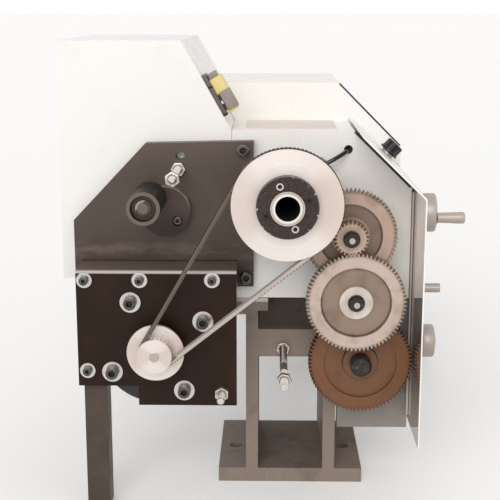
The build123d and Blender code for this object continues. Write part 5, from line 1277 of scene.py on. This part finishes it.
# %% Marks in a ring
def ring_tree(start, count, radius, high, wide, length):
    circle = start.node("GeometryNodeMeshCircle", {"Vertices": count, "Radius": radius})
    place = start.node("GeometryNodeInputPosition")
    facing_out = start.node("FunctionNodeAlignRotationToVector", {"Vector": place}, axis="X")
    bar = block(start, high, wide, length)
    return start.node("GeometryNodeInstanceOnPoints",
                      {"Points": circle, "Instance": bar, "Rotation": facing_out})


def ring_of(name, look, center, axis, count, radius, high, wide, length):
    """Bars in a ring about an axis, 0 for X and 1 for Y, round a center in millimetres."""
    mesh = grown(name, empty.copy(), look, ring_tree, count=count, radius=radius / 1000, high=high / 1000,
                 wide=wide / 1000, length=length / 1000)
    turn = Matrix.Rotation(math.pi / 2, 4, "Y" if axis == 0 else "X")
    mesh.transform(Matrix.Translation(spot(*center)) @ turn)
    return mesh


dial_place, ribs_place = (CROSS_X, -146.0, CROSS_Z), (46.0, *MOTOR)
marks = ring_of("cross_dial_marks", "mark_ink", dial_place, axis=1, count=40, radius=10.0, high=0.12,
                wide=0.35, length=4.5)
piece("cross_dial_marks", marks, "mark_ink", "cross_wheel")
ribs = ring_of("motor_ribs", "motor_black_paint", ribs_place, axis=0, count=40, radius=40.2, high=2.0,
               wide=1.6, length=118.0)
piece("motor_ribs", ribs, "motor_black_paint", "frame")

# %% [markdown]
# ## Floor, light and background
# The lathe stands on a pale floor under one broad, soft sun and an even sky. The sky is white to the camera
# and to reflections, and a plain level to everything it lights, so that a colour shows about as it is
# written.

# %% Stage
WARM_LIGHT = (1.0, 0.985, 0.965)
SKY_LEVEL, FLOOR_GLOW, FLOOR_REACH = 0.58, 0.22, 90.0
SUN_TOWARD, SUN_STRENGTH, SUN_SPREAD = (0.89, -0.14, -0.44), 1.3, 40.0


def seen_rays(tree):
    """1 for what the camera sees, straight or in a reflection, and 0 for light on its way."""
    path = tree.nodes.new("ShaderNodeLightPath")
    seen = Value(tree, path.outputs["Is Camera Ray"])
    for ray in ("Is Glossy Ray", "Is Transmission Ray"):
        seen = seen.maths("MAXIMUM", seen, Value(tree, path.outputs[ray]))
    return seen


def sky():
    world = bpy.data.worlds.new("studio")
    bpy.context.scene.world = world
    world.use_nodes = True
    tree = world.node_tree
    tree.nodes.clear()
    seen = seen_rays(tree)
    light = seen.node("ShaderNodeBackground", {"Color": (*WARM_LIGHT, 1.0), "Strength": SKY_LEVEL})
    white = seen.node("ShaderNodeBackground", {"Color": (1.0, 1.0, 1.0, 1.0), "Strength": 1.0})
    mixed = seen.node("ShaderNodeMixShader", {0: seen, 1: light, 2: white})
    output = tree.nodes.new("ShaderNodeOutputWorld")
    tree.links.new(mixed.socket, output.inputs["Surface"])


sky()
mesh = bpy.data.meshes.new("floor")
corners = [(x * FLOOR_REACH, y * FLOOR_REACH, 0) for x, y in ((-1, -1), (1, -1), (1, 1), (-1, 1))]
mesh.from_pydata(corners, [], [(0, 1, 2, 3)])
floor = added("floor", mesh)


def floor_white(here):
    pale = noise(here, 3.0).tint((0.93, 0.93, 0.93, 1.0), (0.95, 0.95, 0.95, 1.0))
    glow = seen_rays(here.tree).tint((0.0, 0.0, 0.0, 1.0), (1.0, 1.0, 1.0, 1.0))
    return {"Base Color": pale, "Emission Color": glow}


finish("floor_white", floor_white, Roughness=0.9, Emission_Strength=FLOOR_GLOW)
mesh.materials.append(FINISHES["floor_white"])


def sun(name, toward, strength, spread):
    lamp = bpy.data.lights.new(name, "SUN")
    lamp.energy, lamp.angle = strength, math.radians(spread)
    lamp.color = WARM_LIGHT
    added(name, lamp).rotation_euler = Vector(toward).to_track_quat("-Z", "Y").to_euler()


sun("key_sun", SUN_TOWARD, SUN_STRENGTH, SUN_SPREAD)
bpy.context.scene.view_settings.view_transform = "Standard"
